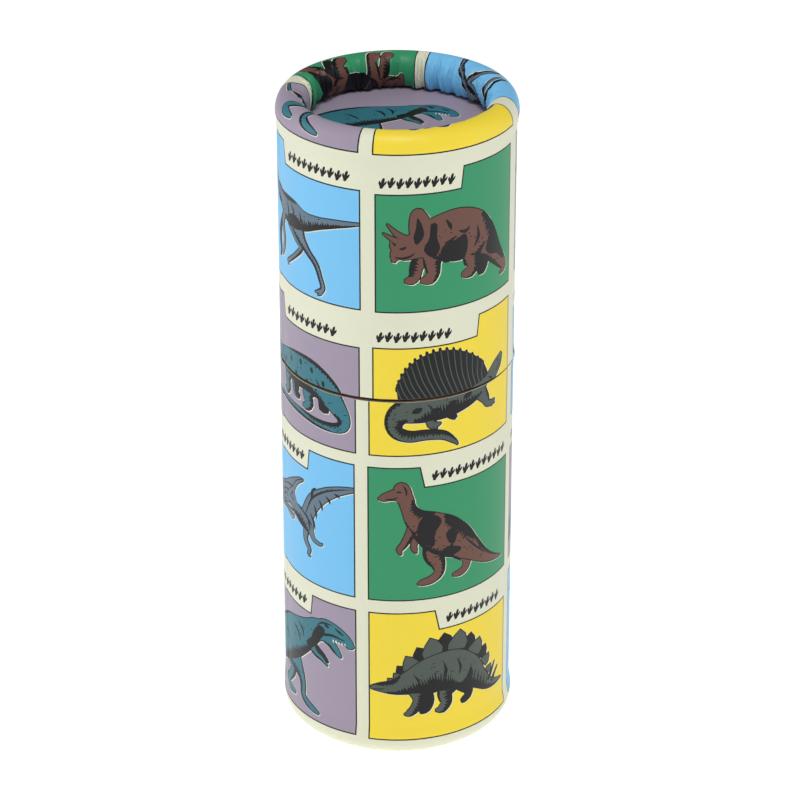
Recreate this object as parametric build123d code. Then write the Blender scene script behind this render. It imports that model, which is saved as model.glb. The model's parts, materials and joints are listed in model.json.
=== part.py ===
from build123d import *
import math
import os

# Toy kaleidoscope in a printed board tube, standing on its eyepiece end.
# Millimetres, +Z up along the tube's axis, origin at the centre of the foot.
# The lower section holds the eyepiece and the mirror prism; the upper section
# holds the bead chamber and turns about Z on the core tube.

# ---- driving dimensions ----
HEIGHT = 175.0
WALL_R = 29.75  # outside of the printed paper on the straight wall
PAPER = 0.25
BOARD = 1.5
JOINT_Z = 103.8  # middle of the gap between the two sections
JOINT_GAP = 0.35

ROLL_CENTRE_R = 26.6  # the curled rim's cross-section is an ellipse
ROLL_HALF_WIDTH = 3.75
ROLL_HALF_HEIGHT = 4.775
CURL_BOARD = 1.1  # the board is squeezed thinner where it curls
FOOT_PRESS = 0.15  # how far the base roll is pressed flat
TIP_SLIT = (0.5, 2.4)  # frees the curled board's tip from the wall: width, height

CORE_R = 26.9
CORE_WALL = 1.2
CORE_TOP = 151.0
LINER_PLAY = 0.1  # running clearance of the upper liner on the core tube
COLLAR_HEIGHT = 6.0
COLLAR_WALL = 0.8
AXIAL_PLAY = 0.3
LINER_SETBACK = 0.3  # the liners stop short of the joint
PRESS_GAP = 0.01  # between the rolls and the discs that they hold

DISC_PLAY = 0.05
PRINT_DISC = 0.2
CARD = 1.5
FILM = 0.4
PEEPHOLE_R = 5.0
PRINT_HOLE_R = 5.6

MIRROR_WIDTH = 42.0
MIRROR_THICK = 1.5
MIRROR_EDGE_GAP = 0.1
PRISM_CARD_RIM = 4.0  # the end cards' opening is this much narrower than the mirrors
BAND_THICK = 0.35
BAND_HEIGHT = 14.0
BAND_INSET = 16.0
PACKING_THICK = 0.9
PACKING_FOLD = 8.0  # across, from one fold to the next
PACKING_SETBACK = 2.0
PACKING_PLAY = (0.15, 2.6)  # to the prism bands, and to the core tube

WINDOW = 1.0
SEAT_R = 24.0
CHAMBER_WALL = 1.75
REST_GAP = 0.02  # beads lie this close above the window
BEAD_R = 2.0
TUBE_BEAD_R = 1.2
TUBE_BEAD_LONG = 7.0
BEAD_HOLE_R = 0.5
GEM_R = (2.6, 1.5)  # at its girdle and its table
GEM_HEIGHT = 1.6
RING_R = (2.6, 1.1)
RING_HEIGHT = 1.0
STAR_R = (3.0, 1.35)
STAR_HEIGHT = 0.5
ROWS_R = (21.5, 14.5, 6.5)  # the circles that the loose pieces lie on

# ---- derived places ----
BOARD_R = WALL_R - PAPER
BORE_R = BOARD_R - BOARD
UPPER_Z = JOINT_Z + JOINT_GAP / 2
LOWER_Z = JOINT_Z - JOINT_GAP / 2
TOP_ROLL_Z = HEIGHT - ROLL_HALF_HEIGHT
FOOT_ROLL_Z = ROLL_HALF_HEIGHT - FOOT_PRESS
DISC_R = BORE_R - DISC_PLAY
CORE_BORE_R = CORE_R - CORE_WALL

EYE_PRINT_Z = FOOT_ROLL_Z + ROLL_HALF_HEIGHT + PRESS_GAP
EYE_CARD_Z = EYE_PRINT_Z + PRINT_DISC
EYE_FILM_Z = EYE_CARD_Z + CARD
CORE_Z = EYE_FILM_Z + FILM
MIRROR_Z = CORE_Z + CARD
MIRROR_TOP = CORE_TOP - CARD
COLLAR_TOP = CORE_TOP - 1.7
COLLAR_Z = COLLAR_TOP - COLLAR_HEIGHT
LINER_TOP = COLLAR_Z - AXIAL_PLAY

SEAT_Z = CORE_TOP + LINER_PLAY
WINDOW_Z = SEAT_Z + CARD
CHAMBER_Z = WINDOW_Z + WINDOW
END_PRINT_TOP = TOP_ROLL_Z - ROLL_HALF_HEIGHT - PRESS_GAP
FROST_TOP = END_PRINT_TOP - PRINT_DISC
CHAMBER_TOP = FROST_TOP - WINDOW

PRISM_INRADIUS = MIRROR_WIDTH / (2 * math.sqrt(3))
PRISM_BACK = PRISM_INRADIUS + MIRROR_THICK

parts = {}


# ---- helpers ----
def section(x0, x1, z0, z1):
    """A rectangle in the half-plane that is turned about Z."""
    return Pos((x0 + x1) / 2, (z0 + z1) / 2) * Rectangle(x1 - x0, z1 - z0)


def turned(profile):
    """The solid of revolution about Z of a profile drawn in X and Z."""
    return revolve(Plane.XZ * profile, Axis.Z)


def ring(inner_r, outer_r, z0, z1):
    if inner_r <= 0:
        return Pos(0, 0, z0) * extrude(Circle(outer_r), z1 - z0)
    return Pos(0, 0, z0) * extrude(Circle(outer_r) - Circle(inner_r), z1 - z0)


def roll_ellipse(z, inset):
    return Pos(ROLL_CENTRE_R, z) * Ellipse(ROLL_HALF_WIDTH - inset, ROLL_HALF_HEIGHT - inset)


# ---- the two outer tubes and their printed paper ----
def board_tube(mouth_z, roll_z):
    """Straight wall whose far edge curls inward into a hollow roll with a free tip."""
    curl = roll_ellipse(roll_z, PAPER) - roll_ellipse(roll_z, PAPER + CURL_BOARD)
    wall = section(BORE_R, BOARD_R, mouth_z, roll_z)
    hollow = roll_ellipse(roll_z, PAPER + CURL_BOARD)
    tip_slit = Pos(BORE_R - 0.45, roll_z - 0.82 * ROLL_HALF_HEIGHT) * Rectangle(*TIP_SLIT)
    return turned(wall - hollow + curl - tip_slit)


def printed_wrap(mouth_z, roll_z):
    """Paper on the wall, carried over the roll and tucked under it."""
    skin = roll_ellipse(roll_z, 0) - roll_ellipse(roll_z, PAPER)
    tuck_r = ROLL_CENTRE_R - 0.35 * ROLL_HALF_WIDTH
    inside = section(tuck_r, BOARD_R, roll_z - 2 * ROLL_HALF_HEIGHT, roll_z - 0.2 * ROLL_HALF_HEIGHT)
    wall = section(BOARD_R, WALL_R, mouth_z, roll_z - 0.3 * ROLL_HALF_HEIGHT)
    return turned(wall + (skin - inside) - roll_ellipse(roll_z, PAPER))


def outer_sections():
    parts["upper_tube"] = board_tube(UPPER_Z, TOP_ROLL_Z)
    parts["upper_wrap"] = printed_wrap(UPPER_Z, TOP_ROLL_Z)

    # the lower section is the same shape, longer and turned over, its roll pressed flat
    length = LOWER_Z - FOOT_ROLL_Z
    floor = Pos(0, 0, -ROLL_HALF_HEIGHT) * Cylinder(2 * WALL_R, 2 * ROLL_HALF_HEIGHT)
    for name, maker in (("lower_tube", board_tube), ("lower_wrap", printed_wrap)):
        upright = maker(0, length)
        parts[name] = Pos(0, 0, LOWER_Z) * (Rot(180, 0, 0) * upright) - floor


# ---- eyepiece at the foot ----
def eyepiece():
    parts["eyepiece_print"] = ring(PRINT_HOLE_R, DISC_R, EYE_PRINT_Z, EYE_CARD_Z)
    parts["eyepiece_card"] = ring(PEEPHOLE_R, DISC_R, EYE_CARD_Z, EYE_FILM_Z)
    parts["eyepiece_film"] = ring(0, DISC_R, EYE_FILM_Z, CORE_Z)


# ---- core tube, its glue sleeve and the collar that keeps the upper section on ----
def core():
    parts["core_tube"] = ring(CORE_BORE_R, CORE_R, CORE_Z, CORE_TOP)
    parts["lower_liner"] = ring(CORE_R, DISC_R, CORE_Z, LOWER_Z - LINER_SETBACK)
    parts["stop_collar"] = ring(CORE_R, CORE_R + COLLAR_WALL, COLLAR_Z, COLLAR_TOP)
    parts["upper_liner"] = ring(CORE_R + LINER_PLAY, DISC_R, UPPER_Z + LINER_SETBACK, LINER_TOP)


# ---- mirror prism ----
def triangle(side):
    """An equilateral triangle with one side facing -Y, like the mirrors."""
    return Rot(0, 0, 180) * RegularPolygon(side / (2 * math.sqrt(3)), 3, major_radius=False, rotation=90)


def prism_outline(extra):
    """The six outer corners of the three mirrors, moved out by extra."""
    half = (MIRROR_WIDTH - MIRROR_EDGE_GAP) / 2
    corners = []
    for k in range(3):
        turn = math.radians(-90 + 120 * k)
        out = Vector(math.cos(turn), math.sin(turn), 0)
        along = Vector(-math.sin(turn), math.cos(turn), 0)
        corners += [out * PRISM_BACK - along * half, out * PRISM_BACK + along * half]
    face = make_face(Polyline(*corners, close=True))
    return offset(face, extra, kind=Kind.INTERSECTION) if extra else face


def mirror_prism():
    width = MIRROR_WIDTH - MIRROR_EDGE_GAP
    strip = Pos(0, -(PRISM_INRADIUS + MIRROR_THICK / 2)) * Rectangle(width, MIRROR_THICK)
    for k in range(3):
        mirror = extrude(Rot(0, 0, 120 * k) * strip, MIRROR_TOP - MIRROR_Z)
        parts[f"mirror_{k + 1}"] = Pos(0, 0, MIRROR_Z) * mirror

    band = extrude(prism_outline(BAND_THICK) - prism_outline(0), BAND_HEIGHT)
    parts["prism_band_lower"] = Pos(0, 0, MIRROR_Z + BAND_INSET) * band
    parts["prism_band_upper"] = Pos(0, 0, MIRROR_TOP - BAND_INSET - BAND_HEIGHT) * band

    end_card = extrude(Circle(CORE_BORE_R - DISC_PLAY) - triangle(MIRROR_WIDTH - PRISM_CARD_RIM), CARD)
    parts["prism_card_lower"] = Pos(0, 0, CORE_Z) * end_card
    parts["prism_card_upper"] = Pos(0, 0, MIRROR_TOP) * end_card


def packing():
    """Three folded card strips that centre the prism in the core tube."""
    near = PRISM_BACK + BAND_THICK + PACKING_PLAY[0]
    peak = CORE_BORE_R - PACKING_THICK - PACKING_PLAY[1]
    folds = [(PACKING_FOLD * k, peak if k % 2 else near) for k in (-2, -1, 0, 1, 2)]
    lower = [(x, -y) for x, y in folds]
    upper = [(x, -(y + PACKING_THICK)) for x, y in reversed(folds)]
    outline = make_face(Polyline(*lower, *upper, close=True))
    for k in range(3):
        strip = extrude(Rot(0, 0, 120 * k) * outline, MIRROR_TOP - MIRROR_Z - 2 * PACKING_SETBACK)
        parts[f"packing_card_{k + 1}"] = Pos(0, 0, MIRROR_Z + PACKING_SETBACK) * strip


# ---- bead chamber at the top ----
def chamber():
    parts["chamber_seat"] = ring(SEAT_R, DISC_R, SEAT_Z, WINDOW_Z)
    parts["chamber_window"] = ring(0, DISC_R, WINDOW_Z, CHAMBER_Z)
    parts["chamber_ring"] = ring(DISC_R - CHAMBER_WALL, DISC_R, CHAMBER_Z, CHAMBER_TOP)
    parts["frosted_disc"] = ring(0, DISC_R, CHAMBER_TOP, FROST_TOP)
    parts["end_print"] = ring(0, DISC_R, FROST_TOP, END_PRINT_TOP)


def star(points, outer_r, inner_r, height):
    corners = []
    for k in range(2 * points):
        r = outer_r if k % 2 == 0 else inner_r
        turn = math.pi * k / points
        corners.append((r * math.cos(turn), r * math.sin(turn)))
    return extrude(make_face(Polyline(*corners, close=True)), height)


def spread(piece, count, radius, first):
    """Copies of a loose piece laid evenly round the chamber window, each turned differently."""
    copies = []
    for k in range(count):
        laid = Rot(0, 0, 3 * first + 47 * k) * piece
        place = Pos(radius, 0, CHAMBER_Z + REST_GAP)
        copies.append(Rot(0, 0, first + 360 / count * k) * (place * laid))
    return Compound(copies)


def loose_pieces():
    outer_row, middle_row, inner_row = ROWS_R
    bead = Pos(0, 0, BEAD_R) * (Sphere(BEAD_R) - Cylinder(BEAD_HOLE_R, 3 * BEAD_R))
    tube = Cylinder(TUBE_BEAD_R, TUBE_BEAD_LONG) - Cylinder(BEAD_HOLE_R, TUBE_BEAD_LONG + 1)
    laid_tube = Pos(0, 0, TUBE_BEAD_R) * (Rot(90, 0, 0) * tube)
    gem = loft([RegularPolygon(GEM_R[0], 6), Pos(0, 0, GEM_HEIGHT) * RegularPolygon(GEM_R[1], 6)])
    ring_bead = extrude(Circle(RING_R[0]) - Circle(RING_R[1]), RING_HEIGHT)
    parts["round_beads"] = spread(bead, 7, outer_row, 10)
    parts["tube_beads"] = spread(laid_tube, 5, middle_row, 20)
    parts["gem_chips"] = spread(gem, 5, middle_row, 56)
    parts["star_sequins"] = spread(star(5, *STAR_R, STAR_HEIGHT), 7, outer_row, 10 + 180 / 7)
    parts["ring_sequins"] = spread(ring_bead, 4, inner_row, 40)


outer_sections()
eyepiece()
core()
mirror_prism()
packing()
chamber()
loose_pieces()

os.makedirs("parts", exist_ok=True)
for name, shape in parts.items():
    shape.label = name
    export_step(shape, f"parts/{name}.step")
print(len(parts), "nodes written")
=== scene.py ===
import json
import math
import random

import bpy
import numpy as np
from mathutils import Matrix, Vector
from mathutils.geometry import delaunay_2d_cdt


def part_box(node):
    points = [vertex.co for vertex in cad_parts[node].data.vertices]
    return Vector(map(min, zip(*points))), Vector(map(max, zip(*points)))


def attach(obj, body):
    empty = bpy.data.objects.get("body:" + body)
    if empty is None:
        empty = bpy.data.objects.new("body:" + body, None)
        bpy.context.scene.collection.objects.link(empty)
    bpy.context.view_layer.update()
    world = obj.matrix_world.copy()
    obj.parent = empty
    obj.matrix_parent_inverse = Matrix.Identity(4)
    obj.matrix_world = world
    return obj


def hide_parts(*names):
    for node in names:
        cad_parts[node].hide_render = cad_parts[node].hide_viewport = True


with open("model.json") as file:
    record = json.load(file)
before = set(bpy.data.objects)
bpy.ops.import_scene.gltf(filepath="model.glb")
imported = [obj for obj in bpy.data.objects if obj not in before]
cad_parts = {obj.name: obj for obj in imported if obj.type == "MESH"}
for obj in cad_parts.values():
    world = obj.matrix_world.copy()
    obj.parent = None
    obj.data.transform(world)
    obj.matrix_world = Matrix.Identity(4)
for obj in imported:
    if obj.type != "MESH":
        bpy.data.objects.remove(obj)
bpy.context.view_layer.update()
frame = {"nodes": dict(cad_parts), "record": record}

# Looks of the toy kaleidoscope: its printed paper, board, card, mirrors and beads.
# The print is drawn here as flat shapes in millimetres, s along the wall's girth
# (0 at the front, -Y) and t up the wall, and is then wrapped round the tube and its curls.

MM = 0.001

# ---------------------------------------------------------------- measured from the frame


def radii(node, low, high):
    """Radii in mm of a node's vertices between two heights in mm."""
    points = [v.co for v in frame["nodes"][node].data.vertices]
    return [math.hypot(p.x, p.y) / MM for p in points if low <= p.z / MM <= high]


def box_mm(node):
    low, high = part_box(node)
    return Vector(low) / MM, Vector(high) / MM


UPPER_LOW, UPPER_HIGH = box_mm("upper_wrap")
LOWER_HIGH = box_mm("lower_wrap")[1]
WALL_R = max(radii("upper_wrap", UPPER_LOW.z, UPPER_LOW.z + 1))
RIM_R = UPPER_HIGH.x
THROAT_R = min(radii("upper_wrap", UPPER_LOW.z, UPPER_HIGH.z))
ROLL_R = (RIM_R + THROAT_R) / 2
ROLL_A = (RIM_R - THROAT_R) / 2
ROLL_B = (UPPER_HIGH.z - box_mm("end_print")[1].z) / 2
TOP_ROLL_Z = UPPER_HIGH.z - ROLL_B
FOOT_ROLL_Z = box_mm("eyepiece_print")[0].z - ROLL_B
GIRTH = 2 * math.pi * WALL_R

# ---------------------------------------------------------------- print layout

PAPER = 0.2
MOST_CREASE = 1.1  # the creases' greatest height
CREST_ROOM = 0.06  # left over the roll's crest for the paper's creases
BULGE_RISE = 4.5  # height over which the wall swells out to the roll
SWELL_SHARE = 0.94  # how much of the way out to the rim the swell takes the wall
CURL_SHARE = 0.97  # the roll's width on its inner side, in parts of the board roll's
TUCK_DEG = 243  # where the paper ends under the roll, from its outermost point
TRIM = 0.32  # how far each section's paper is cut back from its board at the joint
PITCH = GIRTH / 4
PANEL_W = 43.0  # the left panel's width
RIGHT_EDGE = 36.0  # the right panel's right edge
TAB_DROP = 5.75  # how far a panel's top is cut down for its caption
TAB_SLANT = {"left": 0.7, "right": 1.2}
LINE = 0.38  # the black rule round a panel
PICTURE_SCALE = WALL_R / 30
INK_LINE = 0.3  # the outline of a drawn animal
HALO_SHIFT = (0.2, -0.16)  # how far the pale ink under an animal is out of register
FOOTPRINT_STEP = 2.15
FOOTPRINT_SIZE = 2.1
FOOTPRINT_LEAN = 0.25
FOOTPRINT_RISE = 0.22  # how much every other footprint stands higher
CAPTION_START = {"left": 0.7, "right": 2.6}  # from the panel's edge, or from the tab's
CAPTION_RISE = 1.4
SEAM = -math.radians(88.5) * WALL_R  # where the wrap's edges lap
LAP = 5.5
LAP_EASE = 1.5  # over which the lapped paper comes down to the wall
CUT_LIP = 0.05  # how far the cut edge at the joint is turned out
BRUISE_TURN = 1.44  # where the joint's edges are bruised, in radians from the front
BRUISE_HEIGHT = 0.42
RULING_BREAKS = (0.45, 0.9, 1.6, 2.4, 3.3, 4.5, 6.0)  # heights over the joint with vertices on each ruling
SLIVER = 0.002  # flat triangles lower than this are treated as having no area


# ---------------------------------------------------------------- flat shapes


def smooth(points, closed=False, step=0.75):
    """A Catmull-Rom curve through the points, sampled about every step along x, y."""
    p = np.array(points, float)
    n = len(p)
    spans = n if closed else n - 1
    out = []
    for i in range(spans):
        if closed:
            a, b, c, d = p[i - 1], p[i], p[(i + 1) % n], p[(i + 2) % n]
        else:
            a, b, c, d = p[max(i - 1, 0)], p[i], p[i + 1], p[min(i + 2, n - 1)]
        count = max(2, int(np.hypot(*(c - b)[:2]) / step + 0.5))
        for u in np.arange(count) / count:
            bend, twist = 2 * a - 5 * b + 4 * c - d, 3 * b - a - 3 * c + d
            out.append(0.5 * (2 * b + (c - a) * u + bend * u**2 + twist * u**3))
    if not closed:
        out.append(p[-1])
    return np.array(out)


def side_normals(line):
    """Unit vectors to the left of each point of a line."""
    along = np.gradient(line[:, :2], axis=0)
    along /= np.maximum(np.hypot(along[:, 0], along[:, 1]), 1e-9)[:, None]
    return np.stack([-along[:, 1], along[:, 0]], 1)


def limb_outline(line, grow=0.0):
    """The outline of a tapered limb whose centre line has a radius at each point."""
    left = side_normals(line)
    r = np.maximum(line[:, 2:3] + grow, 0.03)
    start, end = line[0, :2], line[-1, :2]
    cap_end = [end + r[-1] * (left[-1] * math.cos(a) + np.array([left[-1][1], -left[-1][0]]) * math.sin(a))
               for a in (math.pi * 0.3, math.pi * 0.7)]
    cap_start = [start + r[0] * (-left[0] * math.cos(a) - np.array([left[0][1], -left[0][0]]) * math.sin(a))
                 for a in (math.pi * 0.3, math.pi * 0.7)]
    return np.concatenate([line[:, :2] + left * r, cap_end, (line[:, :2] - left * r)[::-1], cap_start])


def grown(outline, grow):
    """A closed outline moved outward by grow, with mitred corners."""
    p = np.array(outline, float)
    area = np.sum(p[:, 0] * np.roll(p[:, 1], -1) - np.roll(p[:, 0], -1) * p[:, 1])
    before, after = p - np.roll(p, 1, 0), np.roll(p, -1, 0) - p
    before /= np.maximum(np.hypot(*before.T), 1e-9)[:, None]
    after /= np.maximum(np.hypot(*after.T), 1e-9)[:, None]
    normal = np.stack([before[:, 1] + after[:, 1], -before[:, 0] - after[:, 0]], 1) * np.sign(area)
    size = np.hypot(*normal.T)[:, None]
    cosine = np.maximum(size / 2, 0.45)
    return p + grow * normal / np.maximum(size, 1e-9) / cosine


class Picture:
    """An inked animal: limbs and blobs in one colour, an ink outline, and ink shading.
    Parts are drawn in order in two groups, far ones first."""

    def __init__(self, colour, seed):
        self.colour = colour
        self.rng = random.Random(seed)
        self.groups = {"far": [], "near": []}
        self.marks = {"far": [], "near": []}

    def limb(self, *points, group="near", colour=None):
        line = smooth(points)
        self.groups[group].append((line, True, colour or self.colour))
        return line

    def blob(self, *points, group="near", colour=None, soft=True):
        outline = smooth(points, closed=True) if soft else np.array(points, float)
        self.groups[group].append((outline, False, colour or self.colour))
        return outline

    def ink(self, *points, group="near", colour="black"):
        """A tapered ink stroke through points with radii."""
        self.marks[group].append((limb_outline(smooth(points, step=0.9)), colour))

    def patch(self, *points, group="near", colour="black"):
        self.marks[group].append((smooth(points, closed=True, step=0.9), colour))

    def shade(self, line, side, start, end, depth, teeth=0.8, group="near", colour="black"):
        """Ink along one edge of a limb, from start to end of its length, its inner side
        a comb of pen strokes. depth is in parts of the limb's radius."""
        count = len(line)
        low, high = int(start * (count - 1)), max(int(end * (count - 1)), int(start * (count - 1)) + 2)
        part = line[low:high + 1]
        left = side_normals(part) * side
        lengths = np.concatenate([[0], np.cumsum(np.hypot(*np.diff(part[:, :2], axis=0).T))])
        edge = part[:, :2] + left * (part[:, 2:3] + 0.03)
        strokes = max(2, int(lengths[-1] / teeth))
        inner = []
        for k in range(2 * strokes + 1):
            u = k / (2 * strokes)
            place = u * lengths[-1]
            centre = np.array([np.interp(place, lengths, part[:, c]) for c in (0, 1)])
            radius = np.interp(place, lengths, part[:, 2])
            out = np.array([np.interp(place, lengths, left[:, c]) for c in (0, 1)])
            swell = math.sin(math.pi * min(max(u, 0.04), 0.96)) ** 0.6
            reach = depth * swell * (1.0 if k % 2 else 0.55) * self.rng.uniform(0.8, 1.15)
            inner.append(centre + out * radius * (1 - reach))
        self.marks[group].append((np.concatenate([edge, np.array(inner)[::-1]]), colour))

    def pebble(self, line, start, end, count, size=0.16, group="near"):
        """Short pen dashes scattered over a limb."""
        for _ in range(count):
            place = self.rng.uniform(start, end) * (len(line) - 1)
            x, y, r = line[int(place)]
            turn = self.rng.uniform(0, 2 * math.pi)
            far = r * self.rng.uniform(0, 0.75)
            x, y = x + far * math.cos(turn), y + far * math.sin(turn)
            lean, long = self.rng.uniform(-0.6, 0.9), self.rng.uniform(1.5, 4.0) * size
            dx, dy = long * math.cos(lean), long * math.sin(lean)
            dash = [(x - dx, y - dy), (x + dy * 0.3, y - dx * 0.3), (x + dx, y + dy),
                    (x - dy * 0.3, y + dx * 0.3)]
            self.marks[group].append((np.array(dash), "black"))

    def shapes(self, place, scale=1.0):
        """The picture's shapes in drawing order as (outline, ink), moved to place."""
        def outline(part, grow):
            points, is_limb, _ = part
            return limb_outline(points, grow) if is_limb else grown(points, grow)

        found = []
        every = self.groups["far"] + self.groups["near"]
        found += [(outline(part, INK_LINE) + np.array(HALO_SHIFT), "pale") for part in every]
        for group in ("far", "near"):
            found += [(outline(part, INK_LINE), "black") for part in self.groups[group]]
            found += [(outline(part, 0.0), part[2]) for part in self.groups[group]]
            found += self.marks[group]
        return [(np.asarray(o) * scale + np.array(place), ink) for o, ink in found]


# ---------------------------------------------------------------- the animals
# Each is drawn in its panel's own millimetres, from the panel's lower left corner.
# Limbs are (x, y, radius) along the centre line.


def triceratops():
    p = Picture("brown", 11)
    p.limb((28, 15.5, 2.6), (29.6, 11.5, 1.7), (29.2, 9, 1.4), (28.6, 8.4, 1.5), group="far", colour="black")
    far = p.limb((12, 15.5, 2.2), (10.4, 12.4, 1.6), (10, 10, 1.3), (9, 9, 1.2), (8, 8.8, 0.7), group="far")
    p.shade(far, -1, 0.1, 0.9, 1.3, group="far")
    body = p.limb((12.5, 19, 4.6), (16, 19.6, 6.0), (21, 19.7, 6.9), (26, 18.6, 6.1), (30.5, 15, 4.0),
                  (34, 10.8, 2.4), (37, 7.6, 1.7), (38.6, 5.6, 1.0), (36.6, 4.6, 0.4))
    p.limb((13, 19, 3.6), (9.5, 18, 3.3), (6.8, 16.7, 2.5), (5.2, 15.5, 1.5), (4.8, 14.4, 0.6))
    p.blob((9, 20), (8.6, 24.4), (9.4, 27.4), (11.4, 27.9), (13.4, 25.4), (14.2, 21.6), (13.2, 17.6),
           (10.6, 17.2))
    p.limb((8.4, 19.6, 1.0), (5.6, 21.4, 0.7), (3.2, 24.0, 0.15))
    p.limb((7.4, 18.6, 0.9), (4.6, 20, 0.6), (2.2, 21.6, 0.15))
    p.limb((5.2, 17.2, 0.8), (4.3, 18.2, 0.5), (4.1, 19.4, 0.15))
    front = p.limb((15, 16.5, 3.0), (14.4, 13.2, 2.1), (14.6, 10.6, 1.6), (13.6, 9.0, 1.5), (12.2, 8.7, 0.9))
    hind = p.limb((26.4, 16.5, 4.0), (25.4, 12.6, 2.5), (25.8, 10.2, 1.9), (24.8, 8.8, 1.6), (23.2, 8.5, 0.9))
    p.shade(body, -1, 0.06, 0.40, 0.55)
    p.shade(body, 1, 0.42, 0.88, 0.85)
    p.shade(body, -1, 0.5, 0.98, 0.5)
    p.shade(front, 1, 0.05, 0.9, 0.9)
    p.shade(front, -1, 0.3, 0.8, 0.3)
    p.shade(hind, 1, 0.0, 0.95, 0.8)
    p.shade(hind, -1, 0.35, 0.9, 0.35)
    p.patch((12.2, 16.8), (13.6, 20), (14.0, 23.6), (15.6, 23.4), (15.6, 19.8), (16.4, 16.8), (14.6, 14.6))
    p.patch((16.4, 15.4), (17.6, 17.6), (20.6, 18.4), (23.4, 19.4), (24.2, 16.4), (23.2, 13.2), (19.6, 12.8),
            (17.2, 12.9))
    p.patch((30.2, 22.4), (32.4, 20.4), (34.4, 16.8), (36.2, 12.8), (38.4, 8.8), (37.4, 8.2), (34.6, 10.6),
            (31.8, 11.4), (30.2, 13.4), (31.4, 17.6))
    p.patch((10.6, 25.6), (11.8, 23.4), (12.2, 20.6), (10.4, 18.4), (9.6, 20.2), (10.2, 22.8))
    p.ink((7.6, 17.8, 0.3), (6.8, 17.4, 0.35), (6.2, 17.6, 0.1))
    p.ink((5.0, 15.2, 0.12), (6.8, 14.9, 0.3), (8.6, 15.3, 0.3), (10, 16.2, 0.1))
    p.ink((18, 24.2, 0.15), (19.0, 22.6, 0.55), (19.4, 21.4, 0.15))
    p.ink((21.6, 20.6, 0.15), (23.4, 20.0, 0.55), (24.8, 21.0, 0.12))
    p.ink((17.6, 18.0, 0.15), (19.4, 18.4, 0.45), (20.8, 19.4, 0.12))
    p.ink((27.2, 20.6, 0.12), (27.6, 17.6, 0.55), (26.4, 15.4, 0.2))
    p.pebble(body, 0.05, 0.75, 26)
    for x in (29.8, 31.4, 33.2, 34.6):
        p.ink((x, 8.9 - 0.1 * (x % 2), 0.08), (x + 0.7, 9.0, 0.16), (x + 1.3, 8.7, 0.05))
    return p


def dimetrodon():
    p = Picture("moss", 12)
    p.limb((20, 12.5, 1.8), (21.4, 10.6, 1.1), (22.4, 9.6, 0.7), group="far", colour="black")
    spines = []
    for k in range(17):
        u = k / 16
        foot = (9.4 + 21.6 * u, 15.6 + 1.8 * u)
        turn = math.radians(121 - 25 * u)
        long = 14.2 * math.sin(math.pi * (0.10 + 0.79 * u)) ** 0.75
        spines.append((foot, (foot[0] + long * math.cos(turn), foot[1] + long * math.sin(turn))))
    p.blob(*[tip for _, tip in spines], (31.8, 17.4), (21, 14.6), (9, 13.0), colour="black")
    for foot, tip in spines:
        middle = ((foot[0] + tip[0]) / 2 - 0.7, (foot[1] + tip[1]) / 2)
        p.ink((*foot, 0.15), (*middle, 0.13), (*tip, 0.1), colour="moss")
        up = (tip[0] * 1.06 - foot[0] * 0.06, tip[1] * 1.06 - foot[1] * 0.06)
        p.limb((tip[0], tip[1] - 0.4, 0.3), (*up, 0.1), colour="black")
    tail = p.limb((12, 13.0, 3.2), (8.4, 12.4, 3.0), (6.6, 9.8, 2.3), (7.2, 7.0, 1.7), (10.4, 5.7, 1.45),
                  (15, 5.8, 1.3), (19.4, 5.0, 1.1), (22.6, 2.6, 0.5), (23.4, 1.6, 0.15))
    body = p.limb((9.6, 13.0, 3.3), (15, 13.2, 3.6), (22, 13.9, 3.5), (28.6, 15.4, 2.9), (32.4, 17.6, 1.9),
                  (34.8, 19.6, 1.9), (36.8, 21.4, 1.7), (38.0, 22.8, 0.9))
    hind = p.limb((14, 12.6, 2.2), (16.4, 10.8, 1.4), (15.8, 9.2, 1.0), (17.4, 8.4, 0.7), (18.4, 8.6, 0.3))
    front = p.limb((31, 13.8, 1.9), (32.6, 11.6, 1.3), (33.4, 10.0, 0.9), (35, 9.6, 0.7), (36.2, 10.0, 0.3))
    for x, y in ((16.2, 7.6), (17.2, 7.5), (35, 8.9), (36, 9.2)):
        p.limb((x - 0.8, y + 0.8, 0.35), (x, y, 0.2), (x + 0.4, y - 0.2, 0.08))
    p.shade(body, -1, 0.08, 0.66, 1.15)
    p.shade(body, 1, 0.05, 0.6, 0.35)
    p.shade(tail, 1, 0.12, 0.98, 1.5)
    p.shade(tail, -1, 0.05, 0.45, 0.4)
    for x, y in ((12.4, 12.8), (17.2, 12.2), (21.8, 13.4), (26.4, 14.6)):
        p.patch((x - 1.4, y - 0.6), (x - 0.4, y + 0.8), (x + 1.4, y + 0.7), (x + 0.6, y - 0.7))
    p.shade(hind, 1, 0.0, 0.8, 0.5)
    p.shade(front, 1, 0.0, 0.8, 0.45)
    p.ink((35.8, 19.2, 0.1), (37.2, 20.6, 0.24), (38.6, 22.2, 0.08))
    p.ink((36.2, 21.8, 0.12), (36.6, 22.1, 0.26), (37.0, 22.2, 0.1))
    p.ink((32.6, 18.8, 0.1), (33.8, 18.2, 0.35), (34.2, 16.8, 0.1))
    p.pebble(body, 0.1, 0.9, 30, 0.13)
    p.pebble(tail, 0.05, 0.5, 14, 0.13)
    return p


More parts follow.
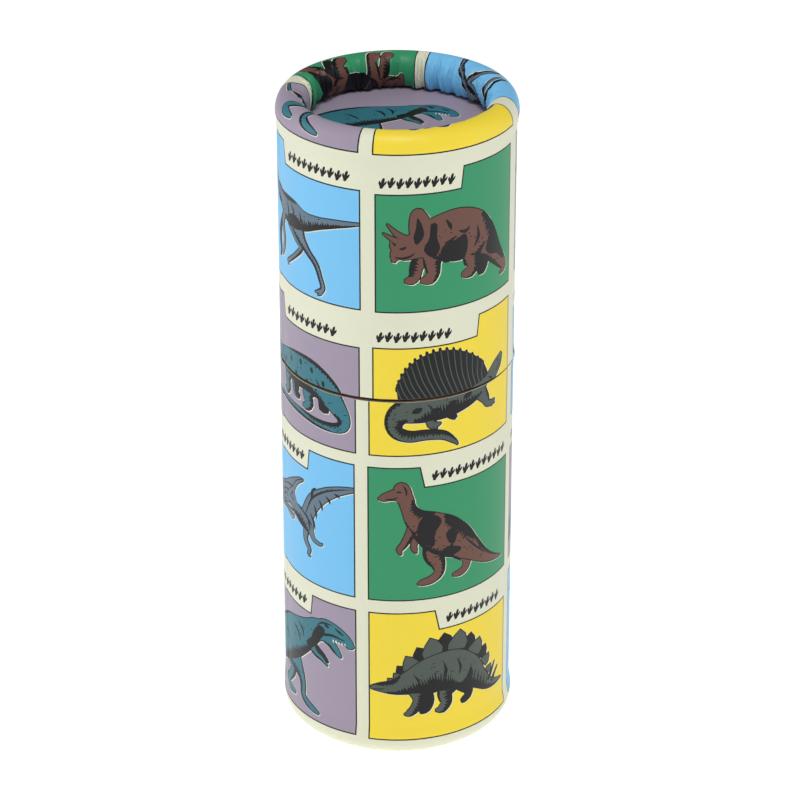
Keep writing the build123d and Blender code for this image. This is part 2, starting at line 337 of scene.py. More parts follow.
def corythosaurus():
    p = Picture("brown", 13)
    far = p.limb((23.4, 14.5, 3.4), (25.6, 11.6, 2.1), (27, 9.4, 1.3), (26.4, 7.0, 1.0), (24.8, 6.0, 0.9),
                 (23, 5.9, 0.5), group="far")
    p.shade(far, 1, 0.0, 0.6, 1.4, group="far")
    p.shade(far, -1, 0.0, 0.4, 0.8, group="far")
    p.limb((14, 19.6, 1.3), (12.0, 16.8, 0.8), (12.2, 15.0, 0.6), (12.6, 14.2, 0.2), group="far")
    body = p.limb((10, 29.2, 1.9), (10.8, 26.8, 1.9), (12.4, 24.2, 2.9), (15.6, 21.4, 4.6), (19.6, 18.4, 5.6),
                  (24, 15.6, 4.8), (28.4, 12.0, 3.1), (32.4, 8.6, 1.9), (36.4, 6.2, 1.0), (41, 4.6, 0.15))
    p.limb((10.2, 29.6, 1.9), (8.4, 31.2, 2.0), (6.2, 31.0, 1.3), (4.0, 30.2, 0.9), (3.2, 30.0, 0.4))
    p.blob((7.0, 31.8), (7.2, 33.8), (8.8, 34.7), (10.6, 33.6), (11.4, 31), (10.4, 29.6), (8.6, 30.2))
    arm = p.limb((12.6, 22.6, 1.9), (10.8, 19.4, 1.1), (9.4, 16.8, 0.85), (8.2, 15.2, 0.7), (8.6, 14.0, 0.25))
    hind = p.limb((19, 17, 4.4), (17.4, 13.2, 2.9), (18.6, 9.8, 1.7), (18.6, 7.4, 1.2), (16.6, 5.8, 1.05),
                  (14.2, 5.2, 0.8), (13.2, 4.9, 0.3))
    p.shade(body, 1, 0.62, 0.98, 0.6)
    p.shade(body, 1, 0.0, 0.24, 1.1)
    p.shade(body, -1, 0.12, 0.6, 0.35)
    p.shade(body, 1, 0.3, 0.66, 0.9)
    p.shade(hind, 1, 0.0, 0.75, 0.75)
    p.shade(hind, -1, 0.05, 0.6, 0.35)
    p.shade(arm, 1, 0.1, 0.9, 0.7)
    p.patch((12.8, 21.0), (14.2, 24.2), (17.6, 24.6), (19.4, 22.4), (17.6, 19.2), (17.4, 15.6), (15.2, 16.2),
            (13.2, 18.4))
    p.patch((20.6, 18.6), (22.4, 19.8), (23.8, 18.2), (23.2, 15.4), (21.6, 15.6))
    p.patch((18.8, 12.8), (21.4, 14.6), (25, 13.6), (24.6, 12.4), (21.6, 11.6))
    p.ink((4.6, 29.8, 0.08), (6.4, 29.9, 0.25), (7.8, 30.4, 0.1))
    p.ink((7.6, 31.9, 0.12), (8.2, 32.0, 0.3), (8.8, 31.8, 0.1))
    p.ink((9.2, 33.8, 0.08), (10.0, 32.4, 0.3), (10.0, 30.8, 0.1))
    p.ink((20.2, 22.0, 0.1), (22.6, 20.2, 0.35), (24.0, 17.8, 0.1))
    p.ink((22.4, 21.4, 0.1), (26.4, 18.0, 0.3), (29.6, 14.0, 0.1))
    p.ink((26.0, 16.2, 0.1), (29.4, 12.6, 0.3), (33.4, 8.8, 0.08))
    p.pebble(body, 0.2, 0.8, 34)
    p.pebble(hind, 0.0, 0.5, 8)
    return p


def stegosaurus():
    p = Picture("moss", 14)

    def plate(x, y, size, lean, group, colour):
        a = math.radians(90 - lean)
        ux, uy = math.cos(a), math.sin(a)
        vx, vy = uy, -ux
        kite = ((0, -0.62), (0.35, -0.66), (0.86, -0.34), (1.22, 0.0), (0.92, 0.38), (0.4, 0.62), (0, 0.5))
        p.blob(*[(x + size * (u * ux + v * vx), y + size * (u * uy + v * vy)) for u, v in kite],
               group=group, colour=colour, soft=False)

    for x, y, size, lean in ((9.6, 19.6, 2.8, -34), (14.4, 23.4, 3.8, -20), (20.6, 25.3, 4.6, -4),
                             (27.2, 23.9, 4.0, 16), (32.0, 19.8, 3.0, 34)):
        plate(x, y, size, lean, "far", "black")
    for x, y, size, lean in ((6.4, 17.3, 1.5, -40), (8.2, 18.3, 2.0, -36), (11.8, 21.4, 3.6, -26),
                             (17.4, 24.8, 4.5, -12), (24.2, 25.2, 4.6, 8), (29.6, 21.9, 3.8, 26),
                             (33.4, 17.2, 2.6, 42), (35.0, 14.2, 1.8, 50)):
        plate(x, y, size, lean, "far", "moss")
    p.limb((14.6, 14.6, 2.0), (16.0, 11.4, 1.3), (15.2, 9.0, 1.1), (14.2, 8.3, 0.7),
           group="far", colour="black")
    p.limb((26, 14.6, 2.6), (27.8, 11.6, 1.5), (27.6, 9.8, 1.1), (26.2, 9.0, 0.9),
           group="far", colour="black")
    body = p.limb((1.2, 15.8, 0.7), (3.6, 16.0, 1.4), (7.2, 16.2, 2.2), (11.6, 17.6, 3.8), (17, 19.2, 5.4),
                  (23, 19.2, 5.9), (28, 17.2, 4.4), (31.4, 13.8, 2.9), (35, 10.6, 1.7), (38.6, 9.2, 0.9),
                  (42.3, 8.7, 0.15))
    front = p.limb((12.6, 15.8, 2.6), (13.4, 12.2, 1.6), (12.2, 9.4, 1.2), (10.6, 8.0, 0.9), (9.8, 7.8, 0.4))
    hind = p.limb((22, 16, 3.8), (20.6, 12.4, 2.1), (21, 9.8, 1.4), (19.6, 8.2, 1.3), (18.4, 8.0, 0.6))
    p.limb((35.6, 11.4, 0.45), (36.8, 13.2, 0.35), (38.4, 15.6, 0.1), colour="black")
    p.limb((37.2, 10.2, 0.4), (38.6, 12.0, 0.3), (40.0, 13.4, 0.1), colour="black")
    p.shade(body, -1, 0.1, 0.62, 1.05)
    p.shade(body, -1, 0.6, 0.98, 1.2)
    p.shade(body, 1, 0.0, 0.2, 0.8)
    p.shade(front, 1, 0.05, 0.9, 1.5)
    p.shade(hind, 1, 0.05, 0.95, 1.4)
    p.shade(hind, -1, 0.1, 0.6, 0.3)
    p.patch((24.8, 13.6), (27.2, 15.8), (28.6, 18.4), (29.4, 15.6), (28, 13.4))
    p.patch((14.6, 14.4), (16.8, 16.2), (18.4, 15.2), (18.6, 13.8), (16.6, 13.4))
    p.ink((20.2, 22.0, 0.1), (20.8, 19.4, 0.5), (20.0, 17.2, 0.15))
    p.ink((24.2, 22.4, 0.1), (25.2, 19.6, 0.4), (24.8, 17.4, 0.1))
    p.ink((12.0, 19.4, 0.1), (13.2, 17.8, 0.35), (13.2, 16.2, 0.1))
    p.ink((2.6, 16.6, 0.1), (3.2, 16.7, 0.24), (3.8, 16.5, 0.1))
    p.ink((1.2, 15.4, 0.06), (2.8, 15.3, 0.2), (4.2, 15.6, 0.08))
    for x, y in ((30.4, 15.4), (31.6, 14.2), (32.8, 13.2), (34.0, 12.2), (35.2, 11.3)):
        p.ink((x, y + 1.4, 0.08), (x - 0.5, y, 0.25), (x - 0.4, y - 1.4, 0.08))
    p.pebble(body, 0.2, 0.75, 46, 0.13)
    return p


def ornithomimus():
    p = Picture("slate", 15)
    far = p.limb((21, 18, 2.8), (23.4, 14.2, 1.3), (24.8, 12.2, 0.7), (22.2, 9.4, 0.5), (19.6, 7.4, 0.45),
                 (18.0, 6.2, 0.4), (18.6, 5.5, 0.15), group="far")
    p.shade(far, 1, 0.1, 0.95, 1.0, group="far")
    p.limb((15.8, 18.6, 0.9), (13.2, 14.4, 0.6), (12.4, 10.4, 0.45), (13.0, 7.4, 0.4), (12.4, 5.6, 0.12),
           group="far", colour="black")
    body = p.limb((3.0, 30.6, 0.5), (5.2, 31.0, 1.2), (7.2, 30.8, 1.1), (8.6, 28.6, 0.85), (10.2, 25.4, 1.0),
                  (13.4, 22.6, 2.0), (17.6, 20.9, 3.4), (22, 20.2, 3.7), (26.4, 20.1, 2.5), (31, 21.0, 1.55),
                  (36.6, 22.2, 0.95), (43, 23.2, 0.3))
    near = p.limb((22.6, 18.6, 3.2), (25, 14.8, 1.7), (27.8, 12.0, 0.9), (30.4, 9.6, 0.75), (31.8, 6.4, 0.6),
                  (32.6, 3.8, 0.6), (31.6, 2.6, 0.55), (30.2, 2.2, 0.2))
    p.limb((32.4, 3.3, 0.4), (31.8, 2.0, 0.3), (31.0, 1.5, 0.1))
    arm = p.limb((16.4, 19.4, 1.1), (15.0, 15.4, 0.8), (16.0, 11.4, 0.6), (15.2, 8.2, 0.5), (14.4, 6.6, 0.15))
    p.shade(body, -1, 0.42, 0.98, 1.2)
    p.shade(body, 1, 0.2, 0.55, 0.5)
    p.shade(body, -1, 0.16, 0.4, 0.7)
    p.shade(near, 1, 0.0, 0.9, 0.6)
    p.shade(near, -1, 0.1, 0.97, 0.95)
    p.patch((17.6, 17.8), (19.6, 19.8), (22.8, 20.2), (24.6, 18.2), (22.0, 17.0), (19.6, 16.6))
    p.shade(arm, 1, 0.1, 0.95, 0.8)
    p.ink((18, 22.6, 0.1), (18.8, 20.4, 0.4), (18.2, 18.4, 0.12))
    p.ink((20.4, 22.8, 0.1), (21.6, 20.8, 0.4), (21.0, 18.6, 0.12))
    p.ink((24.4, 21.8, 0.1), (24.8, 19.6, 0.4), (23.6, 17.8, 0.12))
    p.ink((3.2, 30.3, 0.06), (4.6, 30.4, 0.18), (5.8, 30.6, 0.06))
    p.ink((5.6, 31.5, 0.1), (6.0, 31.6, 0.25), (6.4, 31.4, 0.1))
    p.pebble(body, 0.4, 0.8, 22, 0.14)
    return p


def diplodocus():
    p = Picture("teal", 16)
    far = p.limb((22.8, 15, 2.0), (22.8, 12.4, 1.4), (23.2, 11.0, 1.3), (24.2, 10.6, 0.7),
                 group="far", colour="black")
    p.shade(far, -1, 0.0, 1.0, 0.6, group="far", colour="teal")
    p.limb((33.4, 14.6, 2.2), (33.8, 12.0, 1.4), (33.8, 10.6, 1.4), (34.8, 10.2, 0.7),
           group="far", colour="black")
    body = p.limb((1.2, 27.6, 0.7), (3.0, 27.9, 1.1), (4.8, 26.6, 1.0), (7.4, 23.2, 1.4), (11.4, 19.8, 2.2),
                  (17, 19.0, 4.1), (23, 19.1, 5.2), (28.6, 18.7, 5.4), (33.6, 16.6, 4.4), (37.4, 12.9, 2.8),
                  (39.8, 9.4, 1.8), (39.6, 7.0, 1.5), (37, 5.9, 1.15), (32, 5.8, 0.95), (25, 6.6, 0.8),
                  (17, 7.2, 0.6), (9, 7.2, 0.4), (1.0, 6.4, 0.15))
    fore = p.limb((18.4, 15.6, 2.4), (18.0, 12.6, 1.5), (18.4, 10.8, 1.4), (17.4, 9.8, 1.1), (16.4, 9.7, 0.5))
    hind = p.limb((29, 15.2, 3.0), (28.2, 12.4, 1.8), (28.8, 10.4, 1.4), (27.8, 9.2, 1.2), (26.6, 9.0, 0.6))
    p.shade(body, -1, 0.2, 0.46, 0.65)
    p.shade(body, -1, 0.50, 0.72, 1.25)
    p.shade(body, 1, 0.60, 0.98, 1.1)
    p.shade(body, -1, 0.02, 0.2, 0.7)
    p.shade(body, 1, 0.24, 0.5, 0.22)
    p.shade(fore, 1, 0.1, 0.9, 1.0)
    p.shade(hind, 1, 0.1, 0.95, 1.0)
    for x, y in ((15.6, 19.8), (19.4, 21.2), (24.2, 22.2), (28.6, 21.4), (32.6, 18.8), (22.0, 18.2),
                 (26.8, 17.6)):
        p.patch((x - 0.5, y), (x, y + 0.9), (x + 0.6, y + 0.1), (x + 0.3, y - 1.0))
    p.ink((2.4, 28.4, 0.1), (2.8, 28.5, 0.2), (3.2, 28.3, 0.08))
    p.ink((13.4, 20.0, 0.1), (15.0, 18.2, 0.35), (15.2, 16.0, 0.1))
    p.ink((30.2, 19.4, 0.1), (31.6, 17.0, 0.4), (31.2, 14.6, 0.12))
    p.pebble(body, 0.15, 0.6, 34, 0.15)
    return p


def pterosaur():
    p = Picture("slate", 17)
    p.blob((22.4, 18.4), (20.8, 23.4), (22.6, 26.4), (26.0, 28.6), (24.6, 29.0), (19.6, 26.6),
           (14, 23.4), (6.4, 20.6), (0.6, 19.0), (6.0, 18.6), (12, 20.0), (16.6, 19.6),
           group="far")
    p.blob((20.6, 15.2), (14.6, 16.2), (8.6, 14.6), (2.4, 13.0), (8.4, 18.4), (15, 19.6), (21, 19.4),
           group="far", colour="slate_light")
    p.blob((25.6, 17.2), (27.6, 21.6), (30.6, 26.0), (34.6, 29.0), (39.4, 31.0), (44, 31.8),
           (43.8, 31.2), (39.4, 29.2), (35.4, 26.4), (32.4, 23.2), (30.2, 19.4), (30.0, 15.6),
           (27.4, 14.6))
    body = p.limb((21.0, 19.4, 1.3), (24.4, 18.4, 2.1), (27.6, 16.6, 2.0), (29.4, 14.8, 1.0),
                  (30.2, 13.6, 0.3))
    p.limb((21.4, 19.2, 1.1), (18.4, 20.2, 0.8), (16.2, 19.4, 0.7))
    p.limb((16.8, 19.6, 1.2), (13.6, 18.0, 0.8), (9.0, 15.8, 0.15))
    p.limb((16.8, 20.0, 0.9), (19.0, 22.6, 0.6), (21.0, 24.6, 0.12))
    leg = p.limb((27.4, 15.4, 1.1), (27.0, 12.2, 0.8), (28.6, 9.6, 0.6), (28.0, 8.0, 0.35), (28.8, 7.6, 0.1))
    p.limb((29.2, 15.4, 0.9), (30.4, 13.2, 0.6), (32.6, 12.6, 0.4), (33.4, 13.0, 0.12))
    p.ink((29.6, 24.8, 0.3), (30.0, 27.4, 0.5), (31.2, 28.6, 0.15))
    bone = p.limb((26.2, 19.6, 0.9), (29.4, 25.4, 0.75), (34.2, 29.0, 0.6), (39.4, 31.0, 0.45),
                  (44, 31.9, 0.15))
    p.limb((22.6, 19.6, 0.8), (21.0, 23.2, 0.6), (22.8, 26.6, 0.45), (26.2, 29.0, 0.12))
    p.shade(bone, -1, 0.05, 0.98, 1.2)
    p.shade(body, -1, 0.0, 0.9, 1.2)
    p.shade(body, 1, 0.2, 0.8, 0.4)
    p.shade(leg, 1, 0.0, 0.9, 0.6)
    for x0, y0, x1, y1 in ((29.0, 20.6, 30.8, 16.4), (30.6, 23.4, 31.2, 19.6), (32.4, 25.6, 33.4, 22.8),
                           (34.8, 27.4, 36.0, 25.6), (37.4, 29.0, 39.0, 28.2), (27.4, 19.6, 28.8, 15.2)):
        p.ink((x0, y0, 0.12), ((x0 + x1) / 2 + 0.4, (y0 + y1) / 2, 0.4), (x1, y1, 0.1))
    for x0, y0, x1, y1 in ((21.0, 22.4, 12.0, 20.4), (21.6, 24.8, 13.2, 22.4), (20.4, 19.0, 8.0, 17.8),
                           (20.6, 17.6, 6.0, 15.2), (20.8, 16.2, 12.4, 15.8)):
        p.ink((x0, y0, 0.3), ((x0 + x1) / 2, (y0 + y1) / 2 + 0.5, 0.28), (x1, y1, 0.06), group="far")
    p.ink((15.6, 19.8, 0.12), (16.2, 20.0, 0.26), (16.8, 19.8, 0.1))
    p.ink((10.2, 16.6, 0.05), (13.6, 17.9, 0.16), (16.2, 18.7, 0.08))
    p.pebble(body, 0.0, 0.8, 14, 0.13)
    return p


def theropod():
    p = Picture("teal", 18)
    far = p.limb((15.6, 14, 3.4), (18.6, 10.6, 2.0), (16.8, 7.4, 1.3), (14.6, 5.0, 1.1), (16.6, 3.8, 1.0),
                 (20.0, 3.6, 0.4), group="far")
    p.shade(far, 1, 0.0, 0.75, 0.7, group="far")
    p.limb((30.4, 22.4, 1.0), (33.2, 20.8, 0.6), (34.6, 19.6, 0.2), group="far", colour="black")
    body = p.limb((-3, 4.6, 1.4), (2, 8.2, 2.4), (7, 12.4, 4.2), (12.4, 16.8, 6.0), (18.4, 20.4, 6.3),
                  (24, 23.6, 5.0), (28.2, 26.4, 3.7), (31, 28.8, 2.8))
    p.blob((29.2, 27.4), (30.6, 30.6), (33.6, 32.2), (36.8, 31.8), (39.6, 30.4), (42.0, 28.2), (42.6, 26.2),
           (41.2, 25.6), (39.8, 26.4), (37.6, 27.0), (35.6, 26.8), (33.4, 25.8), (31.2, 25.2))
    jaw = p.limb((33.4, 26.8, 1.2), (35.8, 25.6, 1.15), (37.4, 24.0, 0.95), (38.6, 22.6, 0.45))
    near = p.limb((17.6, 16.6, 5.2), (21.6, 13.2, 3.2), (24.0, 10.4, 1.6), (24.6, 7.6, 1.15),
                  (24.6, 5.2, 1.0), (26.4, 3.8, 0.95), (29.2, 2.9, 0.7), (31.2, 2.4, 0.25))
    arm = p.limb((28.4, 22.4, 1.3), (30.4, 20.6, 0.8), (32.6, 19.8, 0.6), (34.4, 18.4, 0.15))
    p.shade(body, -1, 0.3, 0.98, 0.6)
    p.shade(body, -1, 0.0, 0.36, 0.9)
    p.shade(body, 1, 0.2, 0.7, 0.14)
    p.shade(near, -1, 0.1, 0.85, 0.95)
    p.shade(near, 1, 0.2, 0.95, 0.35)
    p.patch((28.6, 24.4), (29.6, 27.4), (31.6, 29.8), (33.6, 29.2), (33.4, 27.6), (32.4, 26.0), (30.6, 24.2))
    p.shade(arm, -1, 0.1, 0.95, 0.9)
    p.shade(jaw, -1, 0.0, 0.95, 0.6)
    p.patch((26.4, 22.4), (28.2, 24.6), (30.4, 26.0), (31.6, 25.2), (29.8, 23.6), (28.2, 21.4))
    p.patch((33.4, 30.6), (34.4, 30.9), (35.2, 30.3), (34.4, 29.9))
    p.ink((31.0, 29.6, 0.1), (33.0, 31.0, 0.3), (36.0, 31.2, 0.1))
    p.ink((31.6, 26.6, 0.12), (33.6, 27.6, 0.4), (36.4, 28.2, 0.35), (40.0, 27.6, 0.12))
    p.ink((37.0, 30.6, 0.1), (38.4, 29.8, 0.35), (39.6, 29.2, 0.1))
    p.ink((20.0, 25.0, 0.1), (22.4, 23.6, 0.4), (23.6, 21.4, 0.12))
    p.ink((22.6, 27.0, 0.1), (24.6, 25.6, 0.4), (25.2, 23.4, 0.12))
    p.ink((12.6, 20.4, 0.1), (15.4, 19.4, 0.35), (17.4, 17.6, 0.1))
    p.ink((10.2, 13.2, 0.1), (13.2, 13.6, 0.4), (15.6, 12.4, 0.12))
    for x in (36.4, 37.3, 38.2, 39.1, 40.0):
        p.ink((x, 26.9 - 0.3 * (x > 38), 0.22), (x + 0.1, 26.1, 0.05), colour="pale")
    p.pebble(body, 0.15, 0.9, 34, 0.15)
    p.pebble(near, 0.0, 0.5, 10, 0.15)
    return p


# ---------------------------------------------------------------- the printed sheet


def footprint(x, z, size, lean):
    """A three-toed footprint, the mark that stands in each caption."""
    half = [(0.0, -0.3), (0.17, -0.22), (0.24, 0.02), (0.45, 0.34), (0.47, 0.62), (0.36, 0.72), (0.19, 0.46),
            (0.18, 0.84), (0.1, 1.04), (0.0, 1.08)]
    edge = half + [(-u, v) for u, v in half[-2:0:-1]]
    return np.array([(x + size * (u + lean * v), z + size * (v + 0.3)) for u, v in edge])


def caption(x, z, width):
    """A row of small footprints where the caption's words would be."""
    marks = []
    for k in range(round(width / FOOTPRINT_STEP)):
        rise = FOOTPRINT_RISE if k % 2 else 0.0
        marks.append(footprint(x + FOOTPRINT_STEP * (k + 0.5), z + rise, FOOTPRINT_SIZE, FOOTPRINT_LEAN))
    return marks


def panel_outline(x0, x1, z0, z1, tab_x, tab_side):
    """A picture panel with one top corner cut away for its caption."""
    low, slant = z1 - TAB_DROP, TAB_SLANT[tab_side]
    if tab_side == "left":
        top = [(x1, z1), (x0 + tab_x + slant, z1), (x0 + tab_x, low), (x0, low)]
    else:
        top = [(x1, low), (x0 + tab_x + slant, low), (x0 + tab_x, z1), (x0, z1)]
    return np.array([(x0, z0), (x1, z0)] + top)


# what is printed down the front-left column and the front-right one: ground colour, animal,
# where the caption's tab ends, the side it is on, and the caption's length
LEFT_COLUMN = [
    ("mauve", theropod, 28.2, "left", 25.5),
    ("blue", ornithomimus, 16.0, "right", 21.8),
    ("mauve", diplodocus, 14.6, "right", 18.4),
    ("blue", pterosaur, 27.8, "left", 25.5),
]
RIGHT_COLUMN = [
    ("yellow", stegosaurus, 17.6, "right", 20.4),
    ("green", triceratops, 21.8, "left", 19.4),
    ("yellow", dimetrodon, 27.8, "left", 19.4),
    ("green", corythosaurus, 13.6, "right", 25.2),
]
# each row's panels: the left one's right edge, foot and top, then the right one's left edge,
# foot and top. The knife cut between the sections lost a strip of the print, so the row it
# crosses has its own figures in each.
UPPER_ROWS = [
    (0, -9.3, 170.0, 208.0, -6.05, 169.85, 208.0),
    (1, -9.1, 128.0, 165.95, -5.6, 127.85, 165.3),
    (2, -9.45, 86.65, 123.7, -6.3, 86.65, 124.1),
]
LOWER_ROWS = [
    (2, -10.55, 88.05, 126.9, -7.35, 88.1, 126.9),
    (3, -11.0, 46.3, 85.0, -7.7, 46.35, 85.0),
    (4, -10.8, 5.15, 42.8, -7.6, 4.7, 42.85),
]


def print_shapes(rows):
    """Every panel, caption and picture round the sheet as (outline, ink, window), bottom
    layer first. A picture shows only inside its window."""
    panels = []
    for row, left_x1, left_z0, left_z1, right_x0, right_z0, right_z1 in rows:
        left = (left_x1 - PANEL_W, left_x1, left_z0, left_z1)
        right = (right_x0, RIGHT_EDGE, right_z0, right_z1)
        for turn, moved in ((0, 0), (2 * PITCH, 1), (4 * PITCH, 2)):
            for column, (x0, x1, z0, z1) in ((LEFT_COLUMN, left), (RIGHT_COLUMN, right)):
                panels.append((x0 + turn, x1 + turn, z0, z1, column[(row + moved) % 4]))
    found = []
    for x0, x1, z0, z1, (ground, animal, tab_x, tab_side, length) in panels:
        if x0 > SEAM + GIRTH:
            continue
        outer = panel_outline(x0, x1, z0, z1, tab_x, tab_side)
        window = grown(outer, -LINE)
        found += [(outer, "black", None), (window, ground, None)]
        found += [(points, ink, window) for points, ink in animal().shapes((x0, z0), PICTURE_SCALE)]
        start = x0 + CAPTION_START[tab_side] + (tab_x if tab_side == "right" else 0)
        marks = caption(start, z1 - TAB_DROP + CAPTION_RISE, length)
        found += [(points, "black", None) for points in marks]
    return found


def inside(points, outline):
    """Which points lie inside a closed outline, by winding number."""
    x, y = points[:, 0], points[:, 1]
    winding = np.zeros(len(points), int)
    for (x0, y0), (x1, y1) in zip(outline, np.roll(outline, -1, 0)):
        side = (x1 - x0) * (y - y0) - (x - x0) * (y1 - y0)
        winding += (y0 <= y) & (y1 > y) & (side > 0)
        winding -= (y0 > y) & (y1 <= y) & (side < 0)
    return winding != 0


def heights(verts, tris):
    """Each triangle's height over its longest side, below zero if it is turned over."""
    a, b, c = np.moveaxis(verts[tris], 1, 0)
    area = (b[:, 0] - a[:, 0]) * (c[:, 1] - a[:, 1]) - (c[:, 0] - a[:, 0]) * (b[:, 1] - a[:, 1])
    longest = np.max([np.hypot(*(q - p).T) for p, q in ((a, b), (b, c), (c, a))], 0)
    return area / np.maximum(longest, 1e-9)


def border_edges(tris):
    """Directed edges (a, b) that only one triangle has, and that triangle's number for each."""
    ends = np.stack([tris, np.roll(tris, -1, 1)], 2).reshape(-1, 2)
    size = tris.max() + 1
    alone = ~np.isin(ends[:, 0] * size + ends[:, 1], ends[:, 1] * size + ends[:, 0])
    return ends[alone], np.flatnonzero(alone) // 3


def without_specks(tris, inks):
    """Inks with every lone triangle, whose three neighbours share another ink, given theirs."""
    pairs = np.sort(np.stack([tris, np.roll(tris, -1, 1)], 2).reshape(-1, 2), 1)
    order = np.lexsort((pairs[:, 1], pairs[:, 0]))
    same = (pairs[order][1:] == pairs[order][:-1]).all(1)
    one, other = order[:-1][same] // 3, order[1:][same] // 3
    around = {}
    for a, b in zip(one.tolist() + other.tolist(), other.tolist() + one.tolist()):
        around.setdefault(a, []).append(inks[b])
    cleaned = inks.copy()
    for number, near in around.items():
        if len(near) == 3 and near[0] == near[1] == near[2] != inks[number]:
            cleaned[number] = near[0]
    return cleaned


def triangulated(boundary, shapes, rulings, dots):
    """Cuts a flat sheet into triangles along every shape and ruling, and says which ink
    each triangle has. Shapes are in drawing order, so the last one over a triangle wins."""
    low, high = boundary.min(0), boundary.max(0)
    points, edges = [], []

    def add_line(line, closed):
        base = len(points)
        points.extend(map(tuple, line))
        edges.extend((base + k, base + k + 1) for k in range(len(line) - 1))
        if closed:
            edges.append((base + len(line) - 1, base))

    add_line(boundary, True)
    kept = [(o, ink, w) for o, ink, w in shapes if (o.max(0) >= low).all() and (o.min(0) <= high).all()]
    for outline, _, _ in kept:
        add_line(outline, True)
    for ruling in rulings:
        add_line(np.array(ruling), False)
    points.extend(map(tuple, dots))
    made, _, faces, _, _, _ = delaunay_2d_cdt([Vector(p) for p in points], edges, [], 0, 1e-4, False)
    verts = np.array([tuple(v) for v in made])
    tris = np.array([f for f in faces if len(f) == 3])
    tris = tris[inside(verts[tris].mean(1), boundary)]
    flipped = heights(verts, tris) < 0
    tris[flipped] = tris[flipped][:, ::-1]
    while True:  # slivers along the border would stretch across the tube once wrapped
        thin = np.flatnonzero(heights(verts, tris) < SLIVER)
        thin = np.intersect1d(thin, border_edges(tris)[1])
        if not len(thin):
            break
        tris = np.delete(tris, thin, 0)
    used, tris = np.unique(tris, return_inverse=True)
    verts, tris = verts[used], tris.reshape(-1, 3)
    centres = verts[tris].mean(1)
    order = np.argsort(centres[:, 0])
    sorted_x = centres[order, 0]
    inks = np.full(len(tris), "cream", dtype="<U12")
    for outline, ink, window in kept:
        start, stop = np.searchsorted(sorted_x, (outline[:, 0].min(), outline[:, 0].max()))
        near = order[start:stop]
        near = near[(centres[near, 1] >= outline[:, 1].min()) & (centres[near, 1] <= outline[:, 1].max())]
        if window is not None and len(near):
            near = near[inside(centres[near], window)]
        if len(near):
            inks[near[inside(centres[near], outline)]] = ink
    return verts, tris, without_specks(tris, inks)


# ---------------------------------------------------------------- wrapping the sheet


def profile(mouth_z, roll_z, up):
    """The paper's outer line from the joint to where it is tucked under the roll:
    columns t, radius, height. up is 1 for the top roll and -1 for the foot."""
    swell_z = roll_z - up * BULGE_RISE
    rows = [(mouth_z, WALL_R, mouth_z)]
    for u in np.linspace(0, 1, 24):
        z = swell_z + up * BULGE_RISE * u
        rows.append((z, WALL_R + (RIM_R - WALL_R) * SWELL_SHARE * u * u * (3 - 2 * u), z))
    t = roll_z
    half_width = rows[-1][1] - ROLL_R
    previous = rows[-1][1:]
    for turn in np.linspace(0, math.radians(TUCK_DEG), 160)[1:]:
        width = half_width if turn < math.pi / 2 else ROLL_A * CURL_SHARE
        r = ROLL_R + width * math.cos(turn)
        z = roll_z + up * (ROLL_B - CREST_ROOM) * math.sin(turn)
        z = max(z, 0.0)
        t += up * math.hypot(r - previous[0], z - previous[1])
        previous = (r, z)
        rows.append((t, r, z))
    rows = np.array(rows)
    return rows if up > 0 else rows[::-1]


# the paper's pleats where it is gathered inside the roll, fine ones and larger folds: how many,
# then the ranges of their half width, height, start past the crest, and lean
PLEATS = [
    (120, (0.18, 0.75), (0.3, 1.5), (-0.5, 5.0), (-0.3, 0.3)),
    (26, (0.7, 1.5), (1.6, 3.0), (0.5, 5.0), (-0.3, 0.3)),
]


def make_creases(seed, depth):
    """Every pleat as (place round the girth, half width, height, start, lean)."""
    rng = random.Random(seed)
    found = []
    for count, half, height, start, lean in PLEATS:
        for _ in range(count):
            found.append((SEAM + GIRTH * rng.random(), rng.uniform(*half), depth * rng.uniform(*height),
                          rng.uniform(*start), rng.uniform(*lean)))
    return found


